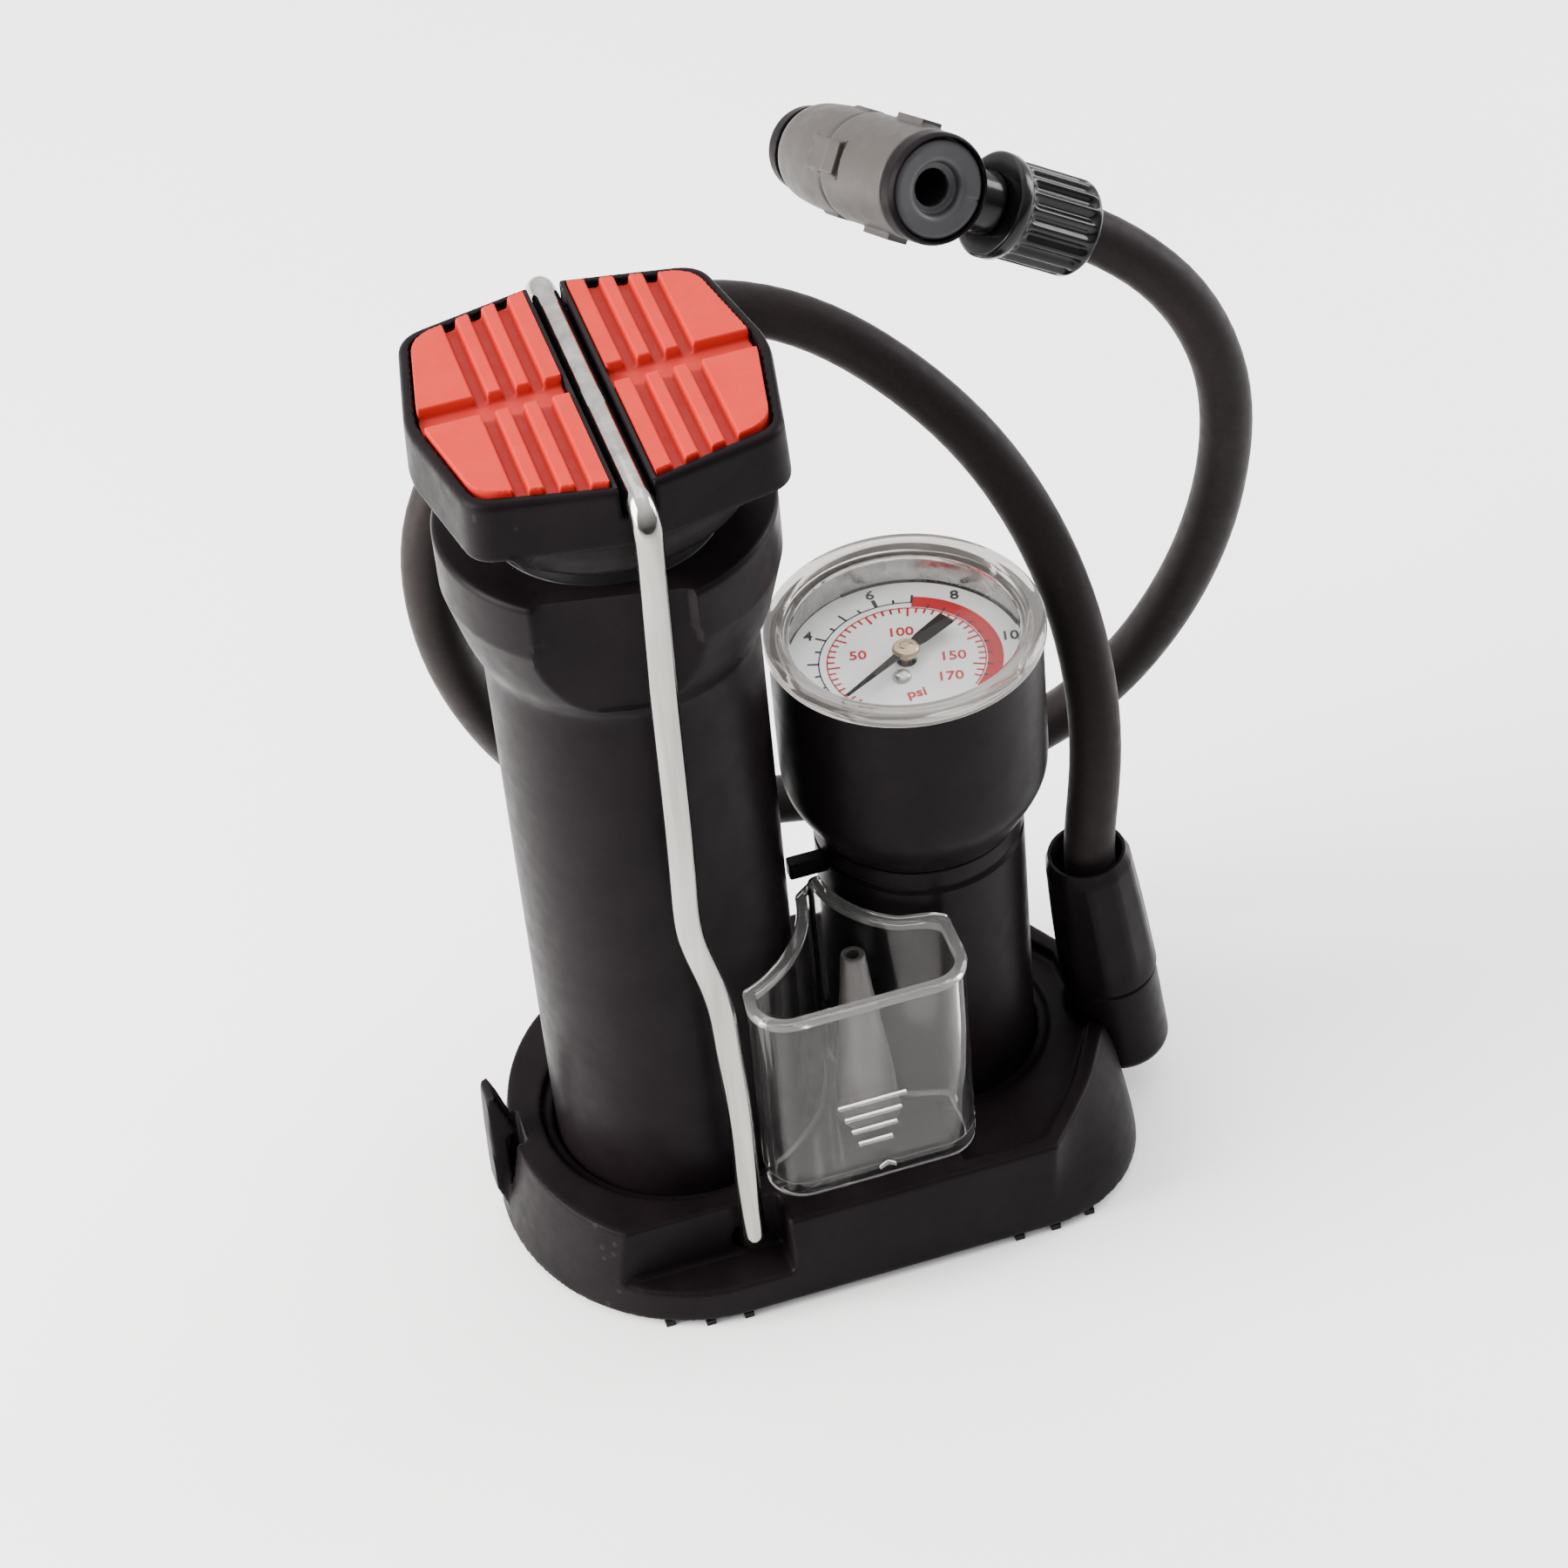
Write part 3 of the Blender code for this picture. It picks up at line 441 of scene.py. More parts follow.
def aim_matrix(point, direction):
    turn = Vector(direction).to_track_quat("Z", "Y").to_matrix().to_4x4()
    return Matrix.Translation(Vector(point)) @ turn


def turned(name, profile, point=(0, 0, 0), direction=UP, sides=SIDES, shape=None):
    """A turned piece. Its (radius, height) profile runs down the outside, then up the inside;
    a profile that starts and ends on the axis makes a solid. shape(radius, height, angle) may
    change the radius."""
    matrix = aim_matrix(point, direction)
    ringed = min(p[0] for p in profile) > 1e-6
    tiny = 1e-3
    rows = []
    for radius, height in profile:
        row = []
        for angle in np.linspace(0, 2 * math.pi, sides, endpoint=False):
            reach = max(radius, tiny)
            if shape:
                reach = shape(reach, height, angle)
            row.append(matrix @ Vector((reach * math.cos(angle), reach * math.sin(angle), height)))
        rows.append(row)
    return skin(name, rows, ringed)


def box(lowest, highest):
    (x0, y0, z0), (x1, y1, z1) = lowest, highest
    return skin("box", [[(x0, y0, z), (x1, y0, z), (x1, y1, z), (x0, y1, z)] for z in (z0, z1)])


def slab(outline, bottom, top):
    """A flat outline in plan, given height."""
    return skin("slab", [[(x, y, z) for x, y in outline] for z in (bottom, top)])


def rod(radius, bottom, top, point=(0, 0, 0), direction=UP, sides=48):
    return turned("rod", [(0, top), (radius, top), (radius, bottom), (0, bottom)], point, direction, sides)


def combined(obj, others, operation):
    """Cuts the other meshes from the object, or joins them to it, one after another."""
    for other in others:
        step = obj.modifiers.new(operation.lower(), "BOOLEAN")
        step.operation = operation
        step.solver = "EXACT"
        step.object = other
        settle(obj)
        bpy.data.objects.remove(other, do_unlink=True)
    return obj


def cut(obj, *others):
    return combined(obj, others, "DIFFERENCE")


def join(obj, *others):
    return combined(obj, others, "UNION")


def settle(obj):
    """Applies the object's modifiers to its mesh."""
    bpy.context.view_layer.update()
    graph = bpy.context.evaluated_depsgraph_get()
    mesh = bpy.data.meshes.new_from_object(obj.evaluated_get(graph))
    obj.modifiers.clear()
    obj.data = mesh
    return obj


def moulded(obj, grid, rounds):
    """Remeshes the solid on a grid and eases its edges, as a mould's do. More rounds, softer edges."""
    step = obj.modifiers.new("grid", "REMESH")
    step.mode = "VOXEL"
    step.voxel_size = grid * MM
    settle(obj)
    step = obj.modifiers.new("ease", "SMOOTH")
    step.factor = 0.5
    step.iterations = rounds
    return settle(obj)


def tube(name, route, radius, smooth=8):
    """A round bar along a list of points, kept as a curve."""
    curve = bpy.data.curves.new(name, "CURVE")
    curve.dimensions = "3D"
    curve.bevel_depth = radius * MM
    curve.bevel_resolution = smooth
    curve.use_fill_caps = True
    spline = curve.splines.new("POLY")
    spline.points.add(len(route) - 1)
    for point, where in zip(spline.points, route):
        point.co = (*(Vector(where) * MM), 1)
    spline.use_smooth = True
    obj = bpy.data.objects.new(name, curve)
    bpy.context.scene.collection.objects.link(obj)
    return obj


def smooth_curve(points, spacing):
    """Points at an even spacing on the natural cubic spline through the given points."""
    points = np.array(points, float)
    chord = np.r_[0, np.cumsum(np.linalg.norm(np.diff(points, axis=0), axis=1))]
    step = np.diff(chord)
    count = len(points)
    system = np.eye(count)
    rise = np.zeros((count, 3))
    for i in range(1, count - 1):
        system[i, i - 1 : i + 2] = step[i - 1], 2 * (step[i - 1] + step[i]), step[i]
        slope_after = (points[i + 1] - points[i]) / step[i]
        slope_before = (points[i] - points[i - 1]) / step[i - 1]
        rise[i] = 6 * (slope_after - slope_before)
    bend = np.linalg.solve(system, rise)

    def at(distance):
        i = min(int(np.searchsorted(chord, distance, side="right")) - 1, count - 2)
        h = step[i]
        before = (chord[i + 1] - distance) / h
        after = (distance - chord[i]) / h
        line = before * points[i] + after * points[i + 1]
        bow = (before**3 - before) * bend[i] + (after**3 - after) * bend[i + 1]
        return line + bow * h * h / 6

    steps = max(2, round(chord[-1] / spacing))
    return [at(distance) for distance in np.linspace(0, chord[-1], steps + 1)]


def shaded(obj, crease=32):
    """Smooth shading, broken at edges sharper than the crease angle."""
    obj.data.shade_smooth()
    obj.data.set_sharp_from_angle(angle=math.radians(crease))
    weights = obj.modifiers.new("normals", "WEIGHTED_NORMAL")
    weights.keep_sharp = True
    return obj


def finished(obj, name, material, body, slot, *nodes):
    """Names the piece, paints it, and has it ride on its body in place of the CAD nodes."""
    obj.name = name
    obj.data.name = name
    obj.data.materials.clear()
    obj.data.materials.append(material)
    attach(obj, body)
    if nodes:
        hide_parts(*nodes)
    return obj


# ---------------------------------------------------------------- hose and valve head


def head_matrix():
    """The valve head's frame: +Z runs back from its front face, +X away from the branch."""
    back = -HEAD_FACING
    across = -BRANCH_DIRECTION
    across = (across - back * across.dot(back)).normalized()
    turn = Matrix((across, back.cross(across), back)).transposed().to_4x4()
    return Matrix.Translation(HEAD_FRONT * MM) @ turn


def in_head(obj):
    """Moves a mesh made about the head's own axes to its place."""
    obj.data.transform(head_matrix())
    return obj


def build_valve_head(paint):
    front = in_head(turned("valve_ring", rounded([
        (7.35, 0.3), (7.5, 0, 0.2), (HEAD_R - 0.4, 0, 0.5), (HEAD_R, 0.8, 0.4), (HEAD_R, 2.8),
        (HEAD_R - 0.3, 3.0), (7.35, 3.0),
    ], 0.2, closed=True)))
    front = finished(shaded(front), "valve_front_ring", paint["black"], "pump_body", "black_plastic",
                     "valve_front_cap")

    grommet = turned("grommet", rounded([
        (3.5, 9.7), (6.3, 9.7), (6.3, 2.9), (7.1, 2.9), (7.1, 0.7, 0.3), (6.6, 0.35, 0.4), (4.2, 0.6, 0.5),
        (3.7, 1.3, 0.4), (3.7, 2.2, 0.2), (2.7, 2.4, 0.2), (2.7, 3.4, 0.2), (3.5, 3.6, 0.2),
    ], 0.25, closed=True), sides=72)
    nick = box((-7.4, -0.15, -1), (-4.6, 0.15, 1.3))
    grommet = moulded(cut(grommet, nick), 0.18, 2)
    grommet = finished(shaded(in_head(grommet), 60), "valve_grommet_rubber", paint["grommet"], "pump_body",
                       "black_rubber", "valve_grommet")

    body = build_valve_body()
    body = finished(shaded(in_head(body), 60), "valve_body_shell", paint["grey"], "pump_body",
                    "grey_plastic", "valve_body")

    rear = in_head(turned("valve_rear", rounded([
        (0, 40.3), (5.0, 40.3, 0.9), (6.3, 39.2, 0.8), (6.5, 36.6, 0.3), (0, 36.6),
    ], 0.4)))
    rear = finished(shaded(rear), "valve_rear_disc", paint["black"], "pump_body", "black_plastic",
                    "valve_rear_cap")

    neck = in_head(turned("neck", rounded([
        (1.5, 13.5), (4.4, 13.5), (4.6, 13.1), (4.6, 6.4), (1.5, 6.4),
    ], 0.15, closed=True), (0, 0, BRANCH_DEPTH), (-1, 0, 0), 64))
    neck = finished(shaded(neck), "valve_neck", paint["gloss"], "pump_body", "gloss_black_plastic")
    return [front, grommet, body, rear, neck]


def build_valve_body():
    """The grey shell: a front sleeve, a step, a domed tail, side lugs and the snap tab in its notch."""
    body = turned("valve_shell", rounded([
        (3.9, 36.2), (5.8, 36.2, 0.8), (7.3, 34.6, 1.8), (7.85, 28.0, 2.0), (7.7, 21.6, 0.3),
        (7.35, 21.3, 0.2), (7.35, 20.6, 0.2), (HEAD_R, 20.2, 0.3), (HEAD_R, 3.3), (6.65, 3.3),
        (6.65, 10.1), (3.9, 10.1),
    ], 0.3, 5, closed=True))
    tab_low, tab_high = 16.4, 24.4
    notch = box((6.9, -2.9, tab_low - 1.0), (12, 2.9, tab_high))
    cut(body, notch)
    join(body, skin("tab", [
        [(5.5, -2.4, z), (top, -2.4, z), (top, 2.4, z), (5.5, 2.4, z)]
        for z, top in ((tab_low, 8.2), (tab_low + 3.2, 8.2), (tab_low + 3.6, 7.7), (tab_high + 0.4, 7.6))
    ]))
    for side in (-1, 1):
        inner, outer = sorted((side * 7.0, side * 8.8))
        join(body, box((-1.6, inner, 7.0), (1.8, outer, 14.0)))
        inner, outer = sorted((side * 6.6, side * 8.1))
        join(body, box((-1.4, inner, 22.4), (1.4, outer, 26.4)))
    way = rod(1.4, 5, 15, (0, 0, BRANCH_DEPTH), (-1, 0, 0))
    cut(body, way)
    return moulded(body, 0.25, 1)


def build_nut(paint):
    """The ribbed union nut: a plain ring at the head end, then narrow ribs to a rounded mouth."""
    ribs = 18
    flute_low, flute_high = 16.6, 28.6

    def fluted(radius, height, angle):
        if radius < 6.0 or not flute_low < height < flute_high:
            return radius
        end = min(height - flute_low, flute_high - height)
        fade = min(1.0, end / 1.0)
        wave = math.sin(ribs * angle / 2) ** 2
        return radius - 0.75 * fade * (1 - wave)

    outer = [(7.2, z) for z in np.linspace(29.0, 16.4, 34)]
    profile = [(4.45, 29.5), (4.8, 29.8), (6.2, 29.8), (6.8, 29.5), *outer, (7.4, 16.2), (7.6, 16.0),
               (7.8, 15.6), (7.8, 14.2), (7.6, 13.9), (7.2, 13.8), (4.7, 13.8), (4.45, 14.1)]
    root = HEAD_FRONT - HEAD_FACING * BRANCH_DEPTH
    nut = turned("hose_union", profile, root, BRANCH_DIRECTION, ribs * 14, fluted)
    return finished(shaded(nut, 50), "hose_union_nut", paint["gloss"], "pump_body", "gloss_black_plastic",
                    "hose_nut")


def build_hose(paint):
    route = smooth_curve(HOSE_ROUTE, 3.0)
    hose = tube("rubber_hose", route, HOSE_R)
    finished(hose, "rubber_hose", paint["hose"], "pump_body", "black_rubber", "hose")


def build_socket(paint):
    """The swivel elbow on the base and the facetted collar that grips the hose."""
    elbow = turned("elbow", rounded([
        (0, 3), (2, 3), (2, 17.6), (7.0, 17.6, 0.2), (7.5, 17.2, 0.2), (7.6, 1.2, 0.8), (6.8, 0, 0.8), (0, 0),
    ], 0.3), SOCKET_FOOT, SOCKET_DIRECTION)
    stub = rod(2.2, 62.3, 70, (0, SOCKET_FOOT.y, 9.4), (1, 0, 0))
    shaded(join(elbow, stub), 40)
    finished(elbow, "swivel_elbow", paint["satin"], "pump_body", "black_plastic", "hose_elbow")

    facets = 10

    def facetted(radius, height, angle):
        """Flats on the outside that fade in above the seam, with eased corners between them."""
        if radius < 6.2 or height < 19:
            return radius
        turn = (angle + math.pi / facets) % (2 * math.pi / facets) - math.pi / facets
        flat = radius * math.cos(math.pi / facets) / math.cos(turn) + 0.15
        fade = min(1.0, (height - 19) / 4)
        return radius + (min(radius, flat) - radius) * fade

    sides = [(7.75 - 0.95 * t**1.6, 18.6 + 23.6 * t) for t in np.linspace(0, 1, 26)]
    profile = [(2.3, 17.95), (2.3, 29), (4.75, 29), (4.75, 41.5), (5.2, 43.2), (5.6, 43.9), (6.1, 44.0),
               *sides[::-1], (7.75, 18.2), (7.5, 17.95)]
    collar = turned("collar", profile, SOCKET_FOOT, SOCKET_DIRECTION, 160, facetted)
    finished(shaded(collar, 40), "grip_collar", paint["satin"], "pump_body", "black_plastic", "hose_collar")


# ---------------------------------------------------------------- base


def base_row(left, half, corner, z):
    """The base's outline at one height: a half ellipse on the left, given corners on the right."""
    ellipse = [(-left * math.cos(a), -half * math.sin(a), z) for a in np.radians(np.linspace(-90, 90, 91))]
    front = [(x, y, z) for x, y in corner]
    back = [(x, -y, z) for x, y in corner[::-1]]
    return ellipse + front + back


def build_base(paint):
    steps = 60
    low_corner = np.array(arc(50, -13, 20, -90, 0, steps))
    bend = [(51.5, -32.2, 0), (56.2, -26.5, 0), (60.8, -20.7, 0), (64.4, -14.8, 0), (67.8, -8.9, 0)]
    share = np.linspace(0, 1, steps + 1)
    even = np.array(smooth_curve(bend, 0.4))
    high_corner = np.stack([np.interp(share, np.linspace(0, 1, len(even)), even[:, k]) for k in (0, 1)], axis=1)
    rows = []
    for rise in np.linspace(0, 1, 9):
        bulged = rise**1.6
        corner = low_corner + (high_corner - low_corner) * bulged
        left = BASE_LEFT - BASE_DRAFT * rise
        rows.append(base_row(left, BASE_HALF - 0.8 * bulged, corner, BASE_LOW + (BASE_TOP - BASE_LOW) * rise))
    base = skin("base_block", rows)

    hook_profile = [(-29.6, 3), (-31.2, 8), (-31, 20), (-30.6, 28), (-29.4, 28.6), (-28.4, 26),
                    (-26.6, 19.8), (-28.3, 19), (-28.3, 5), (-27, 3)]
    hook = skin("hook", [[(x, y, z) for x, z in hook_profile] for y in (0, 5)])
    cut(base, box((-28.6, -1, 6), (-25.4, 6, 30)))
    join(base, hook)

    platform = [(37, -29.4), (50.2, -29.4), (58.6, -19.4), (65.2, -8.2),
                (65.2, 8.2), (58.6, 19.4), (50.2, 29.4), (37, 29.4)]
    cut(base, slab(platform, BASE_TOP - 2, BASE_TOP + 2))
    for side in (-1, 1):
        inner, outer = sorted((side * RECESS_Y, side * (BASE_HALF + 5)))
        cut(base, box((-BASE_LEFT - 6, inner, 7.5), (8, outer, BASE_TOP + 6)))
        cut(base, rod(WIRE_R + 0.9, 21.3, 31, (BAIL_X, 0, BAIL_Z), (0, side, 0)))

    cut(base, box((-9.3, -8.3, -3), (62, 8.3, 8.7)))
    cut(base, box((55.7, -7.3, -2), (62.3, 7.3, 12.3)))
    cut(base, box((6.7, -24.3, -1), (37.8, 24.3, 4.6)))
    for x in (-6.0, 50.5):
        cut(base, box((x - 8.8, -26.3, 0), (x + 8.8, 26.3, 3.1)))
    gauge_at = tuple(GAUGE)
    cut(base,
        rod(22.2, BASE_TOP - 1.2, BASE_TOP + 5, sides=SIDES),
        rod(BARREL_R + GAP, BARREL_FOOT - GAP, BASE_TOP + 6, sides=SIDES),
        rod(5.3, 6, 12),
        rod(18.4, BASE_TOP - 2.7, BASE_TOP + 4, gauge_at, sides=SIDES),
        rod(COLUMN_R + GAP, COLUMN_FOOT - GAP, BASE_TOP + 6, gauge_at, sides=SIDES),
        rod(3.0, 6, 15, gauge_at),
        rod(7.9, -12, 40, SOCKET_FOOT, SOCKET_DIRECTION, 64),
        rod(2.5, 58, 70, (0, SOCKET_FOOT.y, 9.4), (1, 0, 0)))
    for x in (12.5, 32.5):
        for y in (-20.2, 20.2):
            cut(base, rod(1.5, 3, 12.4, (x, y, 0), sides=24))
    moulded(base, 0.42, 3)
    finished(shaded(base, 50), "moulded_base", paint["black"], "pump_body", "black_plastic", "base")


# ---------------------------------------------------------------- barrel and pedal


def build_barrel(paint):
    pocket_angles = [math.radians(a) for a in (-102, 78)]
    floor_r = BARREL_R + 0.5

    def pocketed(radius, height, angle):
        """Lowers the collar to a flat floor inside two lens-sided pockets."""
        if radius < 20.2 or height < 118:
            return radius
        for middle in pocket_angles:
            turn = (angle - middle + math.pi) % (2 * math.pi) - math.pi
            if abs(turn) > 1:
                continue
            lateral = abs(floor_r * math.tan(turn))
            half = math.sqrt(max(0.0, 11.2**2 - (height - 128) ** 2)) if height < 132 else 10.5
            inside = min(1.0, max(0.0, (half - lateral) / 0.7 + 0.5))
            inside = inside * inside * (3 - 2 * inside)
            return radius + (min(radius, floor_r / math.cos(turn)) - radius) * inside
        return radius

    flare = rounded([(COLLAR_R, 129.3), (23.5, 125.6), (22, 119.8), (20.6, 117), (BARREL_R, 115.5, 3),
                     (BARREL_R, 100)], 2.5, 6)
    collar = [(COLLAR_R, z) for z in np.linspace(BARREL_TOP - 0.9, 129.8, 22)]
    dense = []
    for (r0, z0), (r1, z1) in zip(flare, flare[1:]):
        pieces = max(1, round((z0 - z1) / 0.5)) if z0 > 116 else 1
        dense += [(r0 + (r1 - r0) * t, z0 + (z1 - z0) * t) for t in np.linspace(0, 1, pieces, endpoint=False)]
    profile = [(BORE_R, BARREL_TOP - 0.5), (BORE_R + 0.4, BARREL_TOP), (COLLAR_R - 0.8, BARREL_TOP),
               (COLLAR_R - 0.25, BARREL_TOP - 0.3), *collar, *dense, (BARREL_R, 100), (BARREL_R, 60),
               (BARREL_R, BARREL_FOOT + 0.3), (BARREL_R - 0.3, BARREL_FOOT),
               (5, BARREL_FOOT), (5, 8.7), (3.2, 8.7), (3.2, 11.5), (1.5, 11.5), (1.5, 14), (BORE_R, 14)]
    barrel = turned("barrel", profile, sides=320, shape=pocketed)
    finished(shaded(barrel, 40), "barrel_and_collar", paint["satin"], "pump_body", "black_plastic",
             "pump_barrel")

    bush = turned("bush", rounded([
        (13.3, 137.7), (BORE_R - GAP, 137.7), (BORE_R - GAP, 129), (13.3, 129),
    ], 0.5, closed=True))
    finished(shaded(bush), "slide_bush", paint["bush"], "pump_body", "bush_plastic", "guide_bush")


def tread_outline(corner_x, corner_y, end_x, side_y, ease=2.0, steps=6):
    """Four corners with each side drawn out to a shallow point, all eased."""
    sharp = [
        (end_x, 0), (corner_x, corner_y), (0, side_y), (-corner_x, corner_y),
        (-end_x, 0), (-corner_x, -corner_y), (0, -side_y), (corner_x, -corner_y),
    ]
    return rounded(sharp, ease, steps, closed=True)


def build_pedal(paint):
    def row(grow, z):
        share = (z - PEDAL_LOW) / (PEDAL_TOP - PEDAL_LOW)
        lean = 0.4 * (1 - share)
        outline = tread_outline(
            22 + lean + grow, 20.5 + lean * 0.75 + grow, 26 + lean + grow, 25.2 + grow, 3.4, 9)
        return [(x, y, z) for x, y in outline]

    head = skin("pedal", [
        row(-0.5, PEDAL_LOW), row(-0.1, PEDAL_LOW + 0.2), row(0, PEDAL_LOW + 0.6), row(0, PEDAL_TOP - 1.0),
        row(-0.12, PEDAL_TOP - 0.5), row(-0.45, PEDAL_TOP - 0.12), row(-0.9, PEDAL_TOP),
    ])
    bowl = turned("bowl", [
        (0, PEDAL_LOW + 1), (23, PEDAL_LOW + 1), (23, 148.6), (22.6, 146.6), (21.6, 143.6), (20.4, 142.3),
        (0, 142.3),
    ])
    mark = skin("mark", [
        [(-16 + dx, -20.9, PEDAL_LOW + dz), (-16 + dx, -22.0, PEDAL_LOW + dz), (-16 - dx, -22.0, PEDAL_LOW + dz),
         (-16 - dx, -20.9, PEDAL_LOW + dz)] for dx, dz in ((0.15, -2.0), (1.8, 0.6))
    ])
    join(head, bowl, mark)
    seat = slab(tread_outline(20.8, 18.8, 24.3, 24.0), 156.8, PEDAL_TOP + 4)
    groove = box((-2.35, -40, 154.9), (2.35, 40, PEDAL_TOP + 4))
    tube_socket = rod(13.3, 130, 150.5, sides=SIDES)
    cut(head, seat, groove, tube_socket)
    moulded(head, 0.33, 2)
    finished(shaded(head, 50), "pedal_plate", paint["black"], "pedal", "black_plastic", "pedal_head")
    guides = [box((inner, -23.8, 156.6), (outer, 23.8, PAD_TOP - 0.7))
              for inner, outer in ((-2.95, -2.4), (2.4, 2.95))]
    finished(gathered(guides), "pedal_wire_guides", paint["black"], "pedal", "black_plastic")

    for name, side in (("left", -1), ("right", 1)):
        build_tread_pad(paint, name, side)

    tube_top, tube_low = 150.2, 48.3
    stem = turned("stem", rounded([(11.4, tube_top), (13.0, tube_top), (13.0, tube_low), (11.4, tube_low)],
                                  0.3, closed=True))
    finished(shaded(stem), "plunger_stem", paint["steel"], "pedal", "steel", "plunger_tube")


def build_tread_pad(paint, name, side):
    """Three narrow ridges beside the wire and a broad block outside them, split by a cross trough."""
    pad = slab(tread_outline(20.5, 18.5, 24.0, 23.7, 3.6, 9), 157.1, PAD_TOP)
    near, far = sorted((side * -40, side * PAD_INNER))
    cut(pad, box((near, -40, 150), (far, 40, 170)))

    trough = skin("trough", [
        [(-40, -half, z), (40, -half, z), (40, half, z), (-40, half, z)]
        for half, z in ((1.7, PAD_TOP - 1.9), (2.3, PAD_TOP + 1))
    ])
    cut(pad, trough)
    for middle in (6.6, 10.6, 14.6):
        groove = skin("groove", [
            [(side * middle - half, -40, z), (side * middle + half, -40, z), (side * middle + half, 40, z),
             (side * middle - half, 40, z)]
            for half, z in ((0.75, PAD_TOP - 1.7), (1.15, PAD_TOP + 0.6))
        ])
        cut(pad, groove)
    moulded(pad, 0.2, 1)
    finished(shaded(pad, 50), "tread_rubber_" + name, paint["grip"], "pedal", "red_rubber", "tread_pad_" + name)


# ---------------------------------------------------------------- bail wire


def build_bail(paint):
    leg = [(BAIL_X, 14.5), (BAIL_X, 28), (BAIL_X, 43.3), (2.5, 55), (2.2, 62), (0.9, 70.5), (-0.9, 79), (-1.1, 90),
           (-0.6, 123), (0, 152)]
    turn = 4.0
    corner = arc(BAIL_HALF - turn, BAIL_Z + turn, turn, -90, 0, 12)
    crown = arc(BAIL_HALF - turn, 157.6 - turn, turn, 0, 90, 14)
    leg_points = smooth_curve([(x, BAIL_HALF, z) for x, z in leg], 2.0)[1:-1]
    half = [(BAIL_X, 22, BAIL_Z)] + [(BAIL_X, y, z) for y, z in corner]
    half += [tuple(p) for p in leg_points]
    half += [(0, y, z) for y, z in crown]
    route = half + [(x, -y, z) for x, y, z in reversed(half)]
    wire = tube("wire", route, WIRE_R)
    finished(wire, "chrome_bail", paint["chrome"], "bail", "chrome_wire", "bail_wire")


# ---------------------------------------------------------------- gauge


